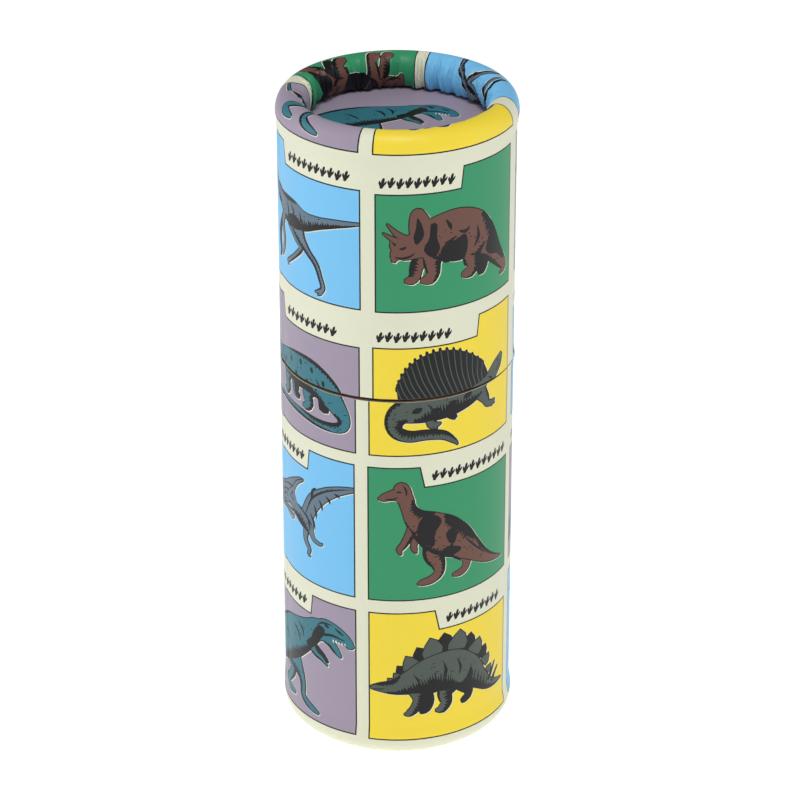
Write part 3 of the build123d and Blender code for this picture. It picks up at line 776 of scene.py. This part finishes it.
class Wrap:
    """One section's paper: maps flat points to space, creases and lap included."""

    def __init__(self, mouth_z, roll_z, up, seed, depth):
        self.line = profile(mouth_z, roll_z, up)
        self.up, self.roll_z, self.mouth_z = up, roll_z, mouth_z
        self.crest_t = roll_z + up * math.pi / 2 * (ROLL_A + ROLL_B) / 2
        self.end_t = self.line[-1, 0] if up > 0 else self.line[0, 0]
        self.creases = make_creases(seed, depth)

    def lift(self, s, t, creased=True):
        """How far the paper stands off its smooth line, in mm. Only the printed face is creased,
        so that the plainer back never comes through it."""
        lift = np.zeros(len(s))
        angle = s / WALL_R
        past = (t - self.crest_t) * self.up  # distance past the roll's crest, going in
        inward = np.clip((past - 0.4) / 2.4, 0, 1)
        gathered = np.clip((past - 0.6) / 5.0, 0, 1)
        near_edge = np.clip(((self.end_t - t) * self.up) / 1.2, 0, 1)
        smooth_front = np.clip(np.abs(angle) - 0.9, 0.12, 1)  # the roll is pleated less at the front
        for place, half, height, start, slant in self.creases if creased else ():
            x = np.abs(s - place - slant * past) / half
            mask = (x < 3) & (past > start - 1.5)
            if mask.any():
                grown_in = np.clip((past[mask] - start + 1.5) / 2.5, 0, 1)
                lift[mask] += height * grown_in * np.exp(-x[mask] * 1.6)
        lift = MOST_CREASE * np.tanh(lift / MOST_CREASE) * near_edge * inward * smooth_front
        waves = (np.sin(s * 1.31 + 1.0) + np.sin(s * 0.83 + past * 0.13 + 2.1) + np.sin(s * 2.17 + 0.4)) / 3
        lift += 0.07 * waves * gathered
        # the lapped edge lies on the sheet's other edge, and is pressed flat on the roll
        from_seam = s - SEAM
        on_wall = np.clip(((self.roll_z - t) * self.up - 3.0) / 3.0, 0, 1)
        lapped = np.clip((LAP + LAP_EASE - from_seam) / LAP_EASE, 0, 1)
        lift += PAPER * lapped * lapped * (3 - 2 * lapped) * on_wall
        # the cut edge at the joint is slightly turned out, and bruised at one place
        from_cut = np.abs(t - self.mouth_z)
        bruise = np.exp(-((angle - BRUISE_TURN) / 0.075) ** 2) * np.exp(-(from_cut / 2.2) ** 2)
        lift += CUT_LIP * np.exp(-from_cut / 0.35) + BRUISE_HEIGHT * bruise * (1 if self.up > 0 else 0.5)
        return lift

    def at(self, s, t, depth=0.0):
        """Space points in mm for flat points, depth below the printed face."""
        line = self.line
        r, z = np.interp(t, line[:, 0], line[:, 1]), np.interp(t, line[:, 0], line[:, 2])
        step = 0.15
        dr = np.interp(t + step, line[:, 0], line[:, 1]) - np.interp(t - step, line[:, 0], line[:, 1])
        dz = np.interp(t + step, line[:, 0], line[:, 2]) - np.interp(t - step, line[:, 0], line[:, 2])
        size = np.maximum(np.hypot(dr, dz), 1e-9)
        off = self.lift(s, t, depth == 0) - depth
        r, z = r + off * dz / size, z - off * dr / size
        z = np.maximum(z, depth)
        turn = s / WALL_R
        return np.stack([r * np.sin(turn), -r * np.cos(turn), z], 1)

    def normals(self, s, t):
        step = 0.06
        around = self.at(s + step, t) - self.at(s - step, t)
        upward = self.at(s, t + step) - self.at(s, t - step)
        normal = np.cross(around, upward)
        return normal / np.maximum(np.linalg.norm(normal, axis=1), 1e-12)[:, None]


def loop_of(tris):
    """The outer boundary of a triangulation, as vertex numbers in order."""
    following = {a: b for a, b in border_edges(tris)[0].tolist()}
    start = next(iter(following))
    loop, here = [start], following[start]
    while here != start:
        loop.append(here)
        here = following[here]
    return loop


def new_mesh(name, verts, faces, slots, materials, normals=None):
    """A mesh object in metres, one material slot number per face. It is faceted without normals."""
    mesh = bpy.data.meshes.new(name)
    mesh.from_pydata([tuple(v) for v in np.asarray(verts) * MM], [], [tuple(map(int, f)) for f in faces])
    for material in materials:
        mesh.materials.append(material)
    mesh.polygons.foreach_set("material_index", np.array(slots, dtype=np.int32))
    mesh.polygons.foreach_set("use_smooth", np.full(len(mesh.polygons), normals is not None))
    if normals is not None:
        mesh.normals_split_custom_set([tuple(n) for n in normals])
    mesh.update()
    piece = bpy.data.objects.new(name, mesh)
    bpy.context.scene.collection.objects.link(piece)
    return piece


def sheet_piece(name, wrap, boundary, shapes, rulings, dots, back_rulings, back_dots):
    """A sheet: the printed face cut along its inks, a plain back, and the cut edges."""
    flat, tris, inks = triangulated(boundary, shapes, rulings, dots)
    loop = loop_of(tris)
    back_flat, back_tris, _ = triangulated(flat[loop], [], back_rulings, back_dots)
    # the back's boundary vertices are matched to the front's by place
    key = {tuple(np.round(p, 3)): i for i, p in enumerate(back_flat)}
    front = wrap.at(flat[:, 0], flat[:, 1])
    back = wrap.at(back_flat[:, 0], back_flat[:, 1], PAPER)
    base = len(front)
    used = sorted(set(inks)) + ["raw"]
    faces = [tuple(t) for t in tris] + [tuple(base + t[::-1]) for t in back_tris]
    slots = [used.index(i) for i in inks] + [len(used) - 1] * len(back_tris)
    front_normals = wrap.normals(flat[:, 0], flat[:, 1])
    back_normals = -wrap.normals(back_flat[:, 0], back_flat[:, 1])
    loops = [front_normals[tris].reshape(-1, 3), back_normals[back_tris[:, ::-1]].reshape(-1, 3)]
    edge_normals = []
    for a, b in zip(loop, loop[1:] + loop[:1]):
        c, d = key.get(tuple(np.round(flat[a], 3))), key.get(tuple(np.round(flat[b], 3)))
        if c is None or d is None:
            continue
        faces.append((b, a, base + c, base + d))
        slots.append(len(used) - 1)
        out = np.cross(front[a] - front[b], back[c] - front[a])
        out /= max(np.linalg.norm(out), 1e-12)
        edge_normals += [out] * 4
    loops.append(np.array(edge_normals).reshape(-1, 3))
    return new_mesh(name, np.concatenate([front, back]), faces, slots, [INKS[i] for i in used],
                    np.concatenate(loops))


# ---------------------------------------------------------------- finishes


def linear(rgb):
    """0-255 screen values as the linear colour that a shader takes."""
    c = np.array(rgb, float) / 255
    return (*np.where(c <= 0.04045, c / 12.92, ((c + 0.055) / 1.055) ** 2.4), 1.0)


class Finish:
    """A Principled material with a few helpers that wire patterns in the object's own metres."""

    def __init__(self, name, roughness=0.5, metallic=0.0, coat=0.0, transmission=0.0, ior=1.5):
        self.material = bpy.data.materials.new(name)
        self.material.use_nodes = True
        self.tree = self.material.node_tree
        self.shader = self.tree.nodes["Principled BSDF"]
        self.place = self.node("TexCoord").outputs["Object"]
        for socket, value in (("Roughness", roughness), ("Metallic", metallic), ("Coat Weight", coat),
                              ("Transmission Weight", transmission), ("IOR", ior)):
            self.shader.inputs[socket].default_value = value
        if coat:
            self.shader.inputs["Coat Roughness"].default_value = 0.25

    def node(self, kind):
        return self.tree.nodes.new("ShaderNode" + kind)

    def link(self, source, socket):
        if hasattr(source, "links"):
            self.tree.links.new(source, socket)
        else:
            socket.default_value = source

    def math(self, operation, a, b=0.0):
        node = self.node("Math")
        node.operation = operation
        self.link(a, node.inputs[0])
        self.link(b, node.inputs[1])
        return node.outputs[0]

    def stretched(self, x, y, z):
        node = self.node("Mapping")
        node.inputs["Scale"].default_value = (x, y, z)
        self.link(self.place, node.inputs["Vector"])
        return node.outputs["Vector"]

    def noise(self, size_mm, detail=3.0, contrast=1.0, place=None):
        """Noise from 0 to 1 whose blotches are about size_mm across."""
        node = self.node("TexNoise")
        node.inputs["Scale"].default_value = 1000 / size_mm
        node.inputs["Detail"].default_value = detail
        self.link(place or self.place, node.inputs["Vector"])
        if contrast == 1.0:
            return node.outputs["Fac"]
        return self.ranged(node.outputs["Fac"], 0.5 - 0.5 / contrast, 0.5 + 0.5 / contrast, 0, 1)

    def ranged(self, source, low, high, to_low, to_high):
        node = self.node("MapRange")
        self.link(source, node.inputs["Value"])
        for socket, value in (("From Min", low), ("From Max", high), ("To Min", to_low), ("To Max", to_high)):
            node.inputs[socket].default_value = value
        return node.outputs["Result"]

    def mixed(self, share, low, high):
        """A colour between two, each a colour or another mix."""
        node = self.node("Mix")
        node.data_type = "RGBA"
        self.link(share, node.inputs[0])
        self.link(low, node.inputs[6])
        self.link(high, node.inputs[7])
        return node.outputs[2]

    def colour(self, source):
        self.link(source, self.shader.inputs["Base Color"])

    def roughness(self, source, low, high):
        self.link(self.ranged(source, 0.25, 0.75, low, high), self.shader.inputs["Roughness"])

    def bump(self, source, height_mm):
        node = self.node("Bump")
        node.inputs["Strength"].default_value = 1.0
        node.inputs["Distance"].default_value = height_mm * MM
        self.link(source, node.inputs["Height"])
        self.link(node.outputs["Normal"], self.shader.inputs["Normal"])

    def radius(self):
        """Distance from the Z axis, in metres."""
        flat = self.node("VectorMath")
        flat.operation = "MULTIPLY"
        self.link(self.place, flat.inputs[0])
        flat.inputs[1].default_value = (1, 1, 0)
        size = self.node("VectorMath")
        size.operation = "LENGTH"
        self.link(flat.outputs[0], size.inputs[0])
        return size.outputs["Value"]

    def winding(self, pitch_mm):
        """0 to 1 across each turn of a spiral-wound strip."""
        split = self.node("SeparateXYZ")
        self.link(self.place, split.inputs[0])
        turn = self.math("DIVIDE", self.math("ARCTAN2", split.outputs["Y"], split.outputs["X"]), 2 * math.pi)
        height = self.math("DIVIDE", split.outputs["Z"], pitch_mm * MM)
        return self.math("FRACT", self.math("ADD", height, turn))


def scaled(rgb, by):
    return tuple(min(255, c * by) for c in rgb)


PLY_MM = 0.3
STRIP_MM = 52  # pitch of the spiral-wound strips
FLUTE_MM = 2.2
THREAD_MM = 2.8

# the inks as they look in plain studio light
INK_COLOURS = {
    "cream": (217, 218, 195), "blue": (115, 187, 232), "green": (48, 142, 98), "yellow": (235, 210, 60),
    "mauve": (153, 142, 160), "teal": (48, 112, 126), "brown": (104, 70, 60), "slate": (92, 112, 128),
    "slate_light": (130, 150, 165), "moss": (74, 84, 78), "black": (15, 15, 19), "pale": (222, 222, 205),
}


def ink_finish(name, rgb):
    """Ink on smooth paper: faintly mottled, with the paper's fibres under its low sheen."""
    finish = Finish("print_" + name)
    finish.shader.inputs["Specular IOR Level"].default_value = 0.26
    fibres = finish.noise(0.35, detail=5, place=finish.stretched(1, 1, 0.55))
    if name in ("black", "pale"):
        finish.colour(linear(rgb))
    else:
        mottle = finish.noise(2.6, detail=4, contrast=1.6)
        grain = finish.mixed(fibres, linear(scaled(rgb, 0.965)), linear(scaled(rgb, 1.03)))
        finish.colour(finish.mixed(mottle, grain, linear(rgb)))
    finish.roughness(fibres, 0.36, 0.50)
    finish.bump(finish.math("ADD", fibres, finish.math("MULTIPLY", finish.noise(3.5, detail=1), 1.5)), 0.012)
    return finish.material


def raw_paper():
    """The unprinted back and cut edges of the wrap."""
    finish = Finish("paper_back", roughness=0.8)
    fibres = finish.noise(0.25, detail=6, contrast=1.5, place=finish.stretched(1, 1, 0.4))
    finish.colour(finish.mixed(fibres, linear((196, 188, 166)), linear((226, 220, 202))))
    finish.bump(fibres, 0.02)
    return finish.material


def board(name, dark, light):
    """Grey-brown tube board: plies across its thickness, loose fibres and flecks."""
    finish = Finish(name, roughness=0.88)
    plies = finish.math("SINE", finish.math("MULTIPLY", finish.radius(), 2 * math.pi / (PLY_MM * MM)))
    fibres = finish.noise(0.5, detail=6, contrast=1.6, place=finish.stretched(1, 1, 2.5))
    share = finish.math("MULTIPLY", finish.math("ADD", finish.ranged(plies, -1, 1, 0.25, 0.75), fibres), 0.5)
    flecks = finish.ranged(finish.noise(0.8, detail=1), 0.68, 0.72, 0, 1)
    finish.colour(finish.mixed(flecks, finish.mixed(share, linear(dark), linear(light)),
                               linear(scaled(light, 1.15))))
    finish.bump(share, 0.06)
    return finish.material


def wound_board(name, dark, light):
    """Thin board wound in a spiral, a butt seam between the turns."""
    finish = Finish(name, roughness=0.85)
    across = finish.winding(STRIP_MM)
    seam = finish.ranged(finish.math("ABSOLUTE", finish.math("SUBTRACT", across, 0.5)), 0.0, 0.006, 0, 1)
    fibres = finish.noise(0.6, detail=6, contrast=1.5, place=finish.stretched(1, 1, 0.35))
    tone = finish.mixed(fibres, linear(dark), linear(light))
    finish.colour(finish.mixed(seam, linear(scaled(dark, 0.6)), tone))
    finish.bump(finish.math("ADD", seam, finish.math("MULTIPLY", fibres, 0.25)), 0.1)
    return finish.material


def card(name, dark, light):
    """Pressed card with visible pulp."""
    finish = Finish(name, roughness=0.75)
    pulp = finish.noise(0.3, detail=6, contrast=1.4)
    cloud = finish.noise(5, detail=3, contrast=1.5)
    tone = finish.mixed(pulp, linear(dark), linear(light))
    finish.colour(finish.mixed(finish.math("MULTIPLY", cloud, 0.4), tone, linear(dark)))
    finish.roughness(pulp, 0.68, 0.84)
    finish.bump(pulp, 0.03)
    return finish.material


def fluted_board(name, dark, light):
    """Single-face corrugated card: flutes upright, kraft fibres along them, each flute's valley darkened as
    painted shade.
    """
    finish = Finish(name, roughness=0.85)
    split = finish.node("SeparateXYZ")
    finish.link(finish.place, split.inputs[0])
    ridge = finish.math("SINE", finish.math("MULTIPLY", split.outputs["Z"], 2 * math.pi / (FLUTE_MM * MM)))
    fibres = finish.noise(0.5, detail=5, contrast=1.6, place=finish.stretched(1, 1, 0.4))
    tone = finish.mixed(fibres, linear(dark), linear(light))
    # painted shade: the colour darkens towards each flute's valley, where the bump is lowest
    finish.colour(finish.mixed(finish.ranged(ridge, -1, 1, 0.35, 0), tone, linear(scaled(dark, 0.7))))
    finish.bump(finish.math("ADD", ridge, fibres), 0.12)
    return finish.material


def gummed_tape():
    """Brown gummed paper tape with woven threads in it."""
    finish = Finish("gummed_tape", roughness=0.45)
    split = finish.node("SeparateXYZ")
    finish.link(finish.place, split.inputs[0])
    thread = finish.ranged(finish.math("SINE", finish.math("MULTIPLY", split.outputs["Z"],
                                                           2 * math.pi / (THREAD_MM * MM))), 0.9, 1.0, 0, 1)
    fibres = finish.noise(0.7, detail=5, contrast=1.5, place=finish.stretched(0.5, 0.5, 2))
    tone = finish.mixed(fibres, linear((150, 112, 70)), linear((184, 146, 98)))
    finish.colour(finish.mixed(finish.math("MULTIPLY", thread, 0.5), tone, linear((214, 190, 150))))
    finish.roughness(fibres, 0.35, 0.6)
    finish.bump(finish.math("ADD", thread, fibres), 0.04)
    return finish.material


def mirror_strip():
    """Silvered strip: nearly clean, with faint handling haze."""
    finish = Finish("mirror_strip", metallic=1.0, roughness=0.04)
    haze = finish.noise(9, detail=4, contrast=2)
    finish.colour(finish.mixed(haze, linear((226, 230, 232)), linear((240, 243, 243))))
    finish.roughness(haze, 0.02, 0.10)
    return finish.material


def plastic_film(name, rgb, roughness, transmission, haze):
    """Clear or frosted film."""
    finish = Finish(name, roughness=roughness, transmission=transmission, ior=1.49)
    finish.shader.inputs["Base Color"].default_value = linear(rgb)
    texture = finish.noise(0.15 if haze > 0.05 else 6, detail=3)
    finish.roughness(texture, max(roughness - haze, 0.01), roughness + haze)
    finish.bump(texture, 0.01 if haze > 0.05 else 0.002)
    return finish.material


def moulded(name, rgb, tint, roughness=0.3, coat=0.0, transmission=0.0):
    """Moulded plastic or glassy bead: flow marks in its colour, light orange peel."""
    finish = Finish(name, roughness=roughness, coat=coat, transmission=transmission, ior=1.5)
    flow = finish.noise(1.6, detail=3, contrast=1.6, place=finish.stretched(1, 1, 2.2))
    finish.colour(finish.mixed(flow, linear(rgb), linear(tint)))
    finish.roughness(flow, roughness * 0.75, roughness * 1.35)
    finish.bump(finish.noise(0.7, detail=2), 0.01)
    return finish.material


INKS = {name: ink_finish(name, rgb) for name, rgb in INK_COLOURS.items()}
INKS["raw"] = raw_paper()

SLOT_FINISHES = {
    "tube_board": board("tube_board", (58, 42, 34), (104, 82, 66)),
    "liner_board": wound_board("liner_board", (150, 126, 96), (184, 160, 128)),
    "white_card": card("white_card", (206, 203, 194), (232, 230, 222)),
    "packing_board": fluted_board("packing_board", (150, 116, 78), (188, 152, 110)),
    "band_paper": gummed_tape(),
    "mirror_strip": mirror_strip(),
    "clear_film": plastic_film("clear_film", (250, 252, 252), 0.05, 0.95, 0.03),
    "frosted_film": plastic_film("frosted_film", (240, 242, 242), 0.55, 0.8, 0.12),
    "chamber_plastic": moulded("chamber_plastic", (226, 226, 222), (238, 238, 235), 0.35),
    "bead_red": moulded("bead_red", (186, 24, 34), (224, 60, 60), 0.15, 0.5, 0.5),
    "bead_blue": moulded("bead_blue", (24, 74, 178), (50, 116, 220), 0.15, 0.5, 0.5),
    "bead_green": moulded("bead_green", (20, 132, 66), (54, 176, 96), 0.15, 0.5, 0.5),
    "bead_yellow": moulded("bead_yellow", (236, 184, 22), (250, 214, 72), 0.18, 0.5, 0.3),
    "bead_pink": moulded("bead_pink", (220, 76, 142), (240, 128, 180), 0.18, 0.5, 0.3),
}


def finish_cad_nodes():
    """Each CAD node shows its slot's finish. The printed ones are replaced by the sheets."""
    for entry in frame["record"]["subparts"]:
        finish = SLOT_FINISHES.get(entry["material_slot"])
        if finish:
            slots = frame["nodes"][entry["node"]].data.materials
            slots.clear()
            slots.append(finish)


# ---------------------------------------------------------------- the printed pieces


def lattice(low_s, high_s, low_t, high_t, step_s, step_t):
    """Dots in rows, half a step in from each side."""
    return [(s, t) for t in np.arange(low_t, high_t, step_t)
            for s in np.arange(low_s + step_s / 2, high_s - step_s / 4, step_s)]


def fine_on_roll(points, first_t, up, step):
    """The outline with more points along each edge that reaches the roll."""
    found = []
    for a, b in zip(points, np.roll(points, -1, 0)):
        count = 1
        if max(a[1] * up, b[1] * up) > first_t * up:
            count = max(1, math.ceil(math.hypot(*(b - a)) / step))
        found += [a + (b - a) * k / count for k in range(count)]
    return np.array(found)


def cut_edge(mouth_z, up, seed):
    """The knife-cut edge at the joint: trimmed back a little, wavy, and closing at the right."""
    rng = random.Random(seed)
    waves = [(rng.uniform(0.01, 0.03), rng.randint(3, 40), rng.uniform(0, 6)) for _ in range(6)]
    s = np.linspace(SEAM, SEAM + GIRTH, 361)
    turn = s / WALL_R
    closing = np.exp(-((turn - 1.35) / 0.65) ** 2)
    wander = 0.6 * sum(size * np.sin(count * turn + phase) for size, count, phase in waves)
    t = mouth_z + up * TRIM * (1 - closing) + wander * (1 - 0.9 * closing)
    return np.stack([s, t], 1)


def make_wrap(name, mouth_z, roll_z, up, rows, seed, crease):
    """One section's printed sheet, from its cut edge at the joint to its tuck under the roll.
    Rulings keep the wall's faces narrow; on the roll a lattice of dots does it."""
    wrap = Wrap(mouth_z, roll_z, up, seed, crease)
    swell_t = roll_z - up * BULGE_RISE
    edge = cut_edge(mouth_z, up, seed)
    ends = np.linspace(SEAM, SEAM + GIRTH, 241)
    far = np.stack([ends, np.full(len(ends), wrap.end_t)], 1)
    side_t = np.arange(roll_z, wrap.end_t, up * 0.6)[1:-1]
    right = np.stack([np.full(len(side_t), SEAM + GIRTH), side_t], 1)
    left_side = np.stack([np.full(len(side_t), SEAM), side_t], 1)
    boundary = np.concatenate([edge, right, far[::-1], left_side[::-1]])
    if up < 0:
        boundary = boundary[::-1]
    shapes = [(fine_on_roll(points, swell_t, up, 0.7), ink, window)
              for points, ink, window in print_shapes(rows)]
    step = GIRTH / 120
    back_uprights = list(np.arange(SEAM + step, SEAM + GIRTH - step / 2, step))
    uprights = back_uprights + [SEAM + LAP + k for k in (0.05, 0.5, 1.0)]
    breaks = [mouth_z - up] + [mouth_z + up * rise for rise in RULING_BREAKS] + [swell_t]
    rulings = [((s, a), (s, b)) for s in uprights for a, b in zip(breaks, breaks[1:])]
    inner_t = wrap.crest_t - up * 1.0
    lap_dots = lattice(SEAM, SEAM + LAP + 2, *sorted((roll_z - up * 7, roll_z - up * 2)), 1.0, 0.5)
    curl_dots = lattice(SEAM, SEAM + GIRTH, *sorted((swell_t, inner_t)), step / 2, 0.45)
    fold_step = step / 6 if up > 0 else step / 2
    fold_dots = lattice(SEAM, SEAM + GIRTH, *sorted((inner_t, wrap.end_t - up * 0.3)), fold_step, 0.45)
    edge_dots = [(s, mouth_z + up * rise) for rise in (0.45, 0.9, 1.6)
                 for s in np.arange(SEAM + step / 2, SEAM + GIRTH, step)]
    bruise_dots = lattice(SEAM + 53 * step, SEAM + 63 * step, *sorted((mouth_z + up * 0.4, mouth_z + up * 6)),
                          step / 2, 0.5)
    dots = lap_dots + curl_dots + fold_dots + edge_dots + bruise_dots
    back_lines = [((s, a), (s, b)) for s in back_uprights for a, b in zip(breaks, breaks[1:])]
    back_dots = lattice(SEAM, SEAM + GIRTH, *sorted((swell_t, wrap.end_t - up * 0.5)), step / 2, 0.7)
    back_dots += edge_dots + bruise_dots
    return sheet_piece(name, wrap, boundary, shapes, rulings, dots, back_lines, back_dots)


def shapes_turned(shapes, angle, scale, about, to):
    """The shapes turned and scaled about one point, which goes to another."""
    c, s = math.cos(angle) * scale, math.sin(angle) * scale
    turn = np.array([[c, s], [-s, c]])
    return [((points - np.array(about)) @ turn + np.array(to), ink) for points, ink in shapes]


def round_piece(name, node, up, outer_r, hole_r, shapes, ground):
    """A printed disc or ring that stands where a CAD one does, its printed face up or down."""
    low, high = box_mm(node)
    face_z, back_z = (high.z, low.z) if up > 0 else (low.z, high.z)
    turns = np.linspace(0, 2 * math.pi, 145)[:-1]
    boundary = np.stack([outer_r * np.cos(turns), outer_r * np.sin(turns)], 1)
    found = [(boundary * 1.01, ground, None)]
    if hole_r:
        found.append((boundary / outer_r * hole_r, "hole", None))
    found = found[:1] + [(p, i, None) for p, i in shapes] + found[1:]
    dots = lattice(-outer_r, outer_r, -outer_r, outer_r, 2.5, 2.2)
    flat, tris, inks = triangulated(boundary, found, [], dots)
    keep = inks != "hole"
    tris, inks = tris[keep], inks[keep]
    used = sorted(set(inks)) + ["raw"]
    warp = 0.02 * np.sin(flat[:, 0] * 0.21 + 1) * np.sin(flat[:, 1] * 0.17 + 2) - 0.02
    front = np.column_stack([flat, face_z + up * warp])
    back = np.column_stack([flat, np.full(len(flat), back_z)])
    base = len(front)
    order = 1 if up > 0 else -1
    faces = [tuple(t[::order]) for t in tris] + [tuple(base + t[::-order]) for t in tris]
    slots = [used.index(i) for i in inks] + [len(used) - 1] * len(tris)
    for a, b in border_edges(tris)[0]:
        faces.append((b, a, base + a, base + b)[::order])
        slots.append(len(used) - 1)
    return new_mesh(name, np.concatenate([front, back]), faces, slots, [INKS[i] for i in used])


def end_disc_art():
    """The animal on the end disc, in millimetres, x to the right and y to the back."""
    nose, nose_on_disc = (42.9, 27.0), (15.6, 6.6)
    return shapes_turned(theropod().shapes((0, 0)), math.radians(-14), 0.93, nose, nose_on_disc)


def eyepiece_art(outer_r):
    """A plain band with footprints walking round the peephole."""
    turns = np.linspace(0, 2 * math.pi, 121)[:-1]
    rim = np.stack([np.cos(turns), np.sin(turns)], 1)
    band_r, centre_r, walk_r, prints, rule = outer_r - 3.5, 9.0, 16.5, 12, 0.3
    shapes = [(rim * (band_r + rule), "black"), (rim * band_r, "blue")]
    shapes += [(rim * (centre_r + rule), "black"), (rim * centre_r, "cream")]
    for k in range(prints):
        turn = 2 * math.pi * k / prints
        place = (walk_r * math.cos(turn), walk_r * math.sin(turn))
        shapes += shapes_turned([(footprint(0, 0, 4.0, 0.0), "black")], turn, 1.0, (0, 1), place)
    return shapes


upper_print = make_wrap("printed_sheet_upper", UPPER_LOW.z, TOP_ROLL_Z, 1, UPPER_ROWS, 3, 0.85)
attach(upper_print, "chamber_section")
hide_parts("upper_wrap")

lower_print = make_wrap("printed_sheet_lower", LOWER_HIGH.z, FOOT_ROLL_Z, -1, LOWER_ROWS, 4, 0.2)
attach(lower_print, "viewer_section")
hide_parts("lower_wrap")

end_r = box_mm("end_print")[1].x
end_disc = round_piece("end_disc_print", "end_print", 1, end_r, 0, end_disc_art(), "mauve")
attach(end_disc, "chamber_section")
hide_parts("end_print")

eye_r = box_mm("eyepiece_print")[1].x
eye_hole_r = min(radii("eyepiece_print", 0, LOWER_HIGH.z))
eye_ring = round_piece("eyepiece_ring_print", "eyepiece_print", -1, eye_r, eye_hole_r, eyepiece_art(eye_r),
                       "cream")
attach(eye_ring, "viewer_section")
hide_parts("eyepiece_print")

finish_cad_nodes()


# ---------------------------------------------------------------- studio


def studio_floor():
    """A plain white sweep of paper, large enough to fill the view."""
    mesh = bpy.data.meshes.new("studio_floor")
    mesh.from_pydata([(-6, -6, 0), (6, -6, 0), (6, 6, 0), (-6, 6, 0)], [], [(0, 1, 2, 3)])
    floor = bpy.data.objects.new("studio_floor", mesh)
    bpy.context.scene.collection.objects.link(floor)
    finish = Finish("studio_paper", roughness=1.0)
    finish.shader.inputs["Specular IOR Level"].default_value = 0.0
    finish.shader.inputs["Emission Color"].default_value = (1, 1, 1, 1)
    finish.shader.inputs["Emission Strength"].default_value = 0.5
    tone = finish.noise(40, detail=3)
    finish.colour(finish.mixed(tone, linear((250, 250, 249)), linear((253, 253, 252))))
    mesh.materials.append(finish.material)


def soft_light(name, place, aim_z, size, watts):
    """A square-on softbox that points at the axis at a height."""
    data = bpy.data.lights.new(name, "AREA")
    data.shape = "RECTANGLE"
    data.size, data.size_y = size
    data.energy = watts
    lamp = bpy.data.objects.new(name, data)
    lamp.location = place
    lamp.rotation_euler = (Vector((0, 0, aim_z)) - Vector(place)).to_track_quat("-Z", "Y").to_euler()
    bpy.context.scene.collection.objects.link(lamp)


def white_world(strength):
    world = bpy.data.worlds.new("studio_world")
    world.use_nodes = True
    sky = world.node_tree.nodes["Background"]
    sky.inputs["Color"].default_value = (1, 1, 1, 1)
    sky.inputs["Strength"].default_value = strength
    bpy.context.scene.world = world


def camera():
    """The viewpoint: in front, a little above, with a long lens."""
    data = bpy.data.cameras.new("studio_camera")
    data.sensor_width = 36
    data.lens = 155.187
    data.clip_start, data.clip_end = 0.05, 30
    rig = bpy.data.objects.new("studio_camera", data)
    rig.location = (0, -0.7943, 0.4900)
    down, aside = 0.46742006, 0.00084092
    rig.rotation_euler = (math.pi / 2 - down, 0, -aside)
    bpy.context.scene.collection.objects.link(rig)
    bpy.context.scene.camera = rig


# each light's name, place, height that it points at, size and watts
STUDIO_LIGHTS = [
    ("left_light", (-1.1, 0.05, 0.45), 0.09, (0.6, 0.9), 4.9),
    ("right_light", (1.1, -0.1, 0.4), 0.09, (0.6, 0.8), 2.6),
    ("high_left_light", (-0.6, -0.7, 0.9), 0.14, (0.5, 0.5), 0.3),
    ("high_right_light", (0.55, -0.75, 0.85), 0.14, (0.5, 0.5), 0.3),
    ("high_front_light", (0.0, -0.5, 1.05), 0.16, (0.35, 0.35), 6.5),
]

studio_floor()
white_world(0.2)
for light in STUDIO_LIGHTS:
    soft_light(*light)
camera()
bpy.context.scene.view_settings.view_transform = "Standard"
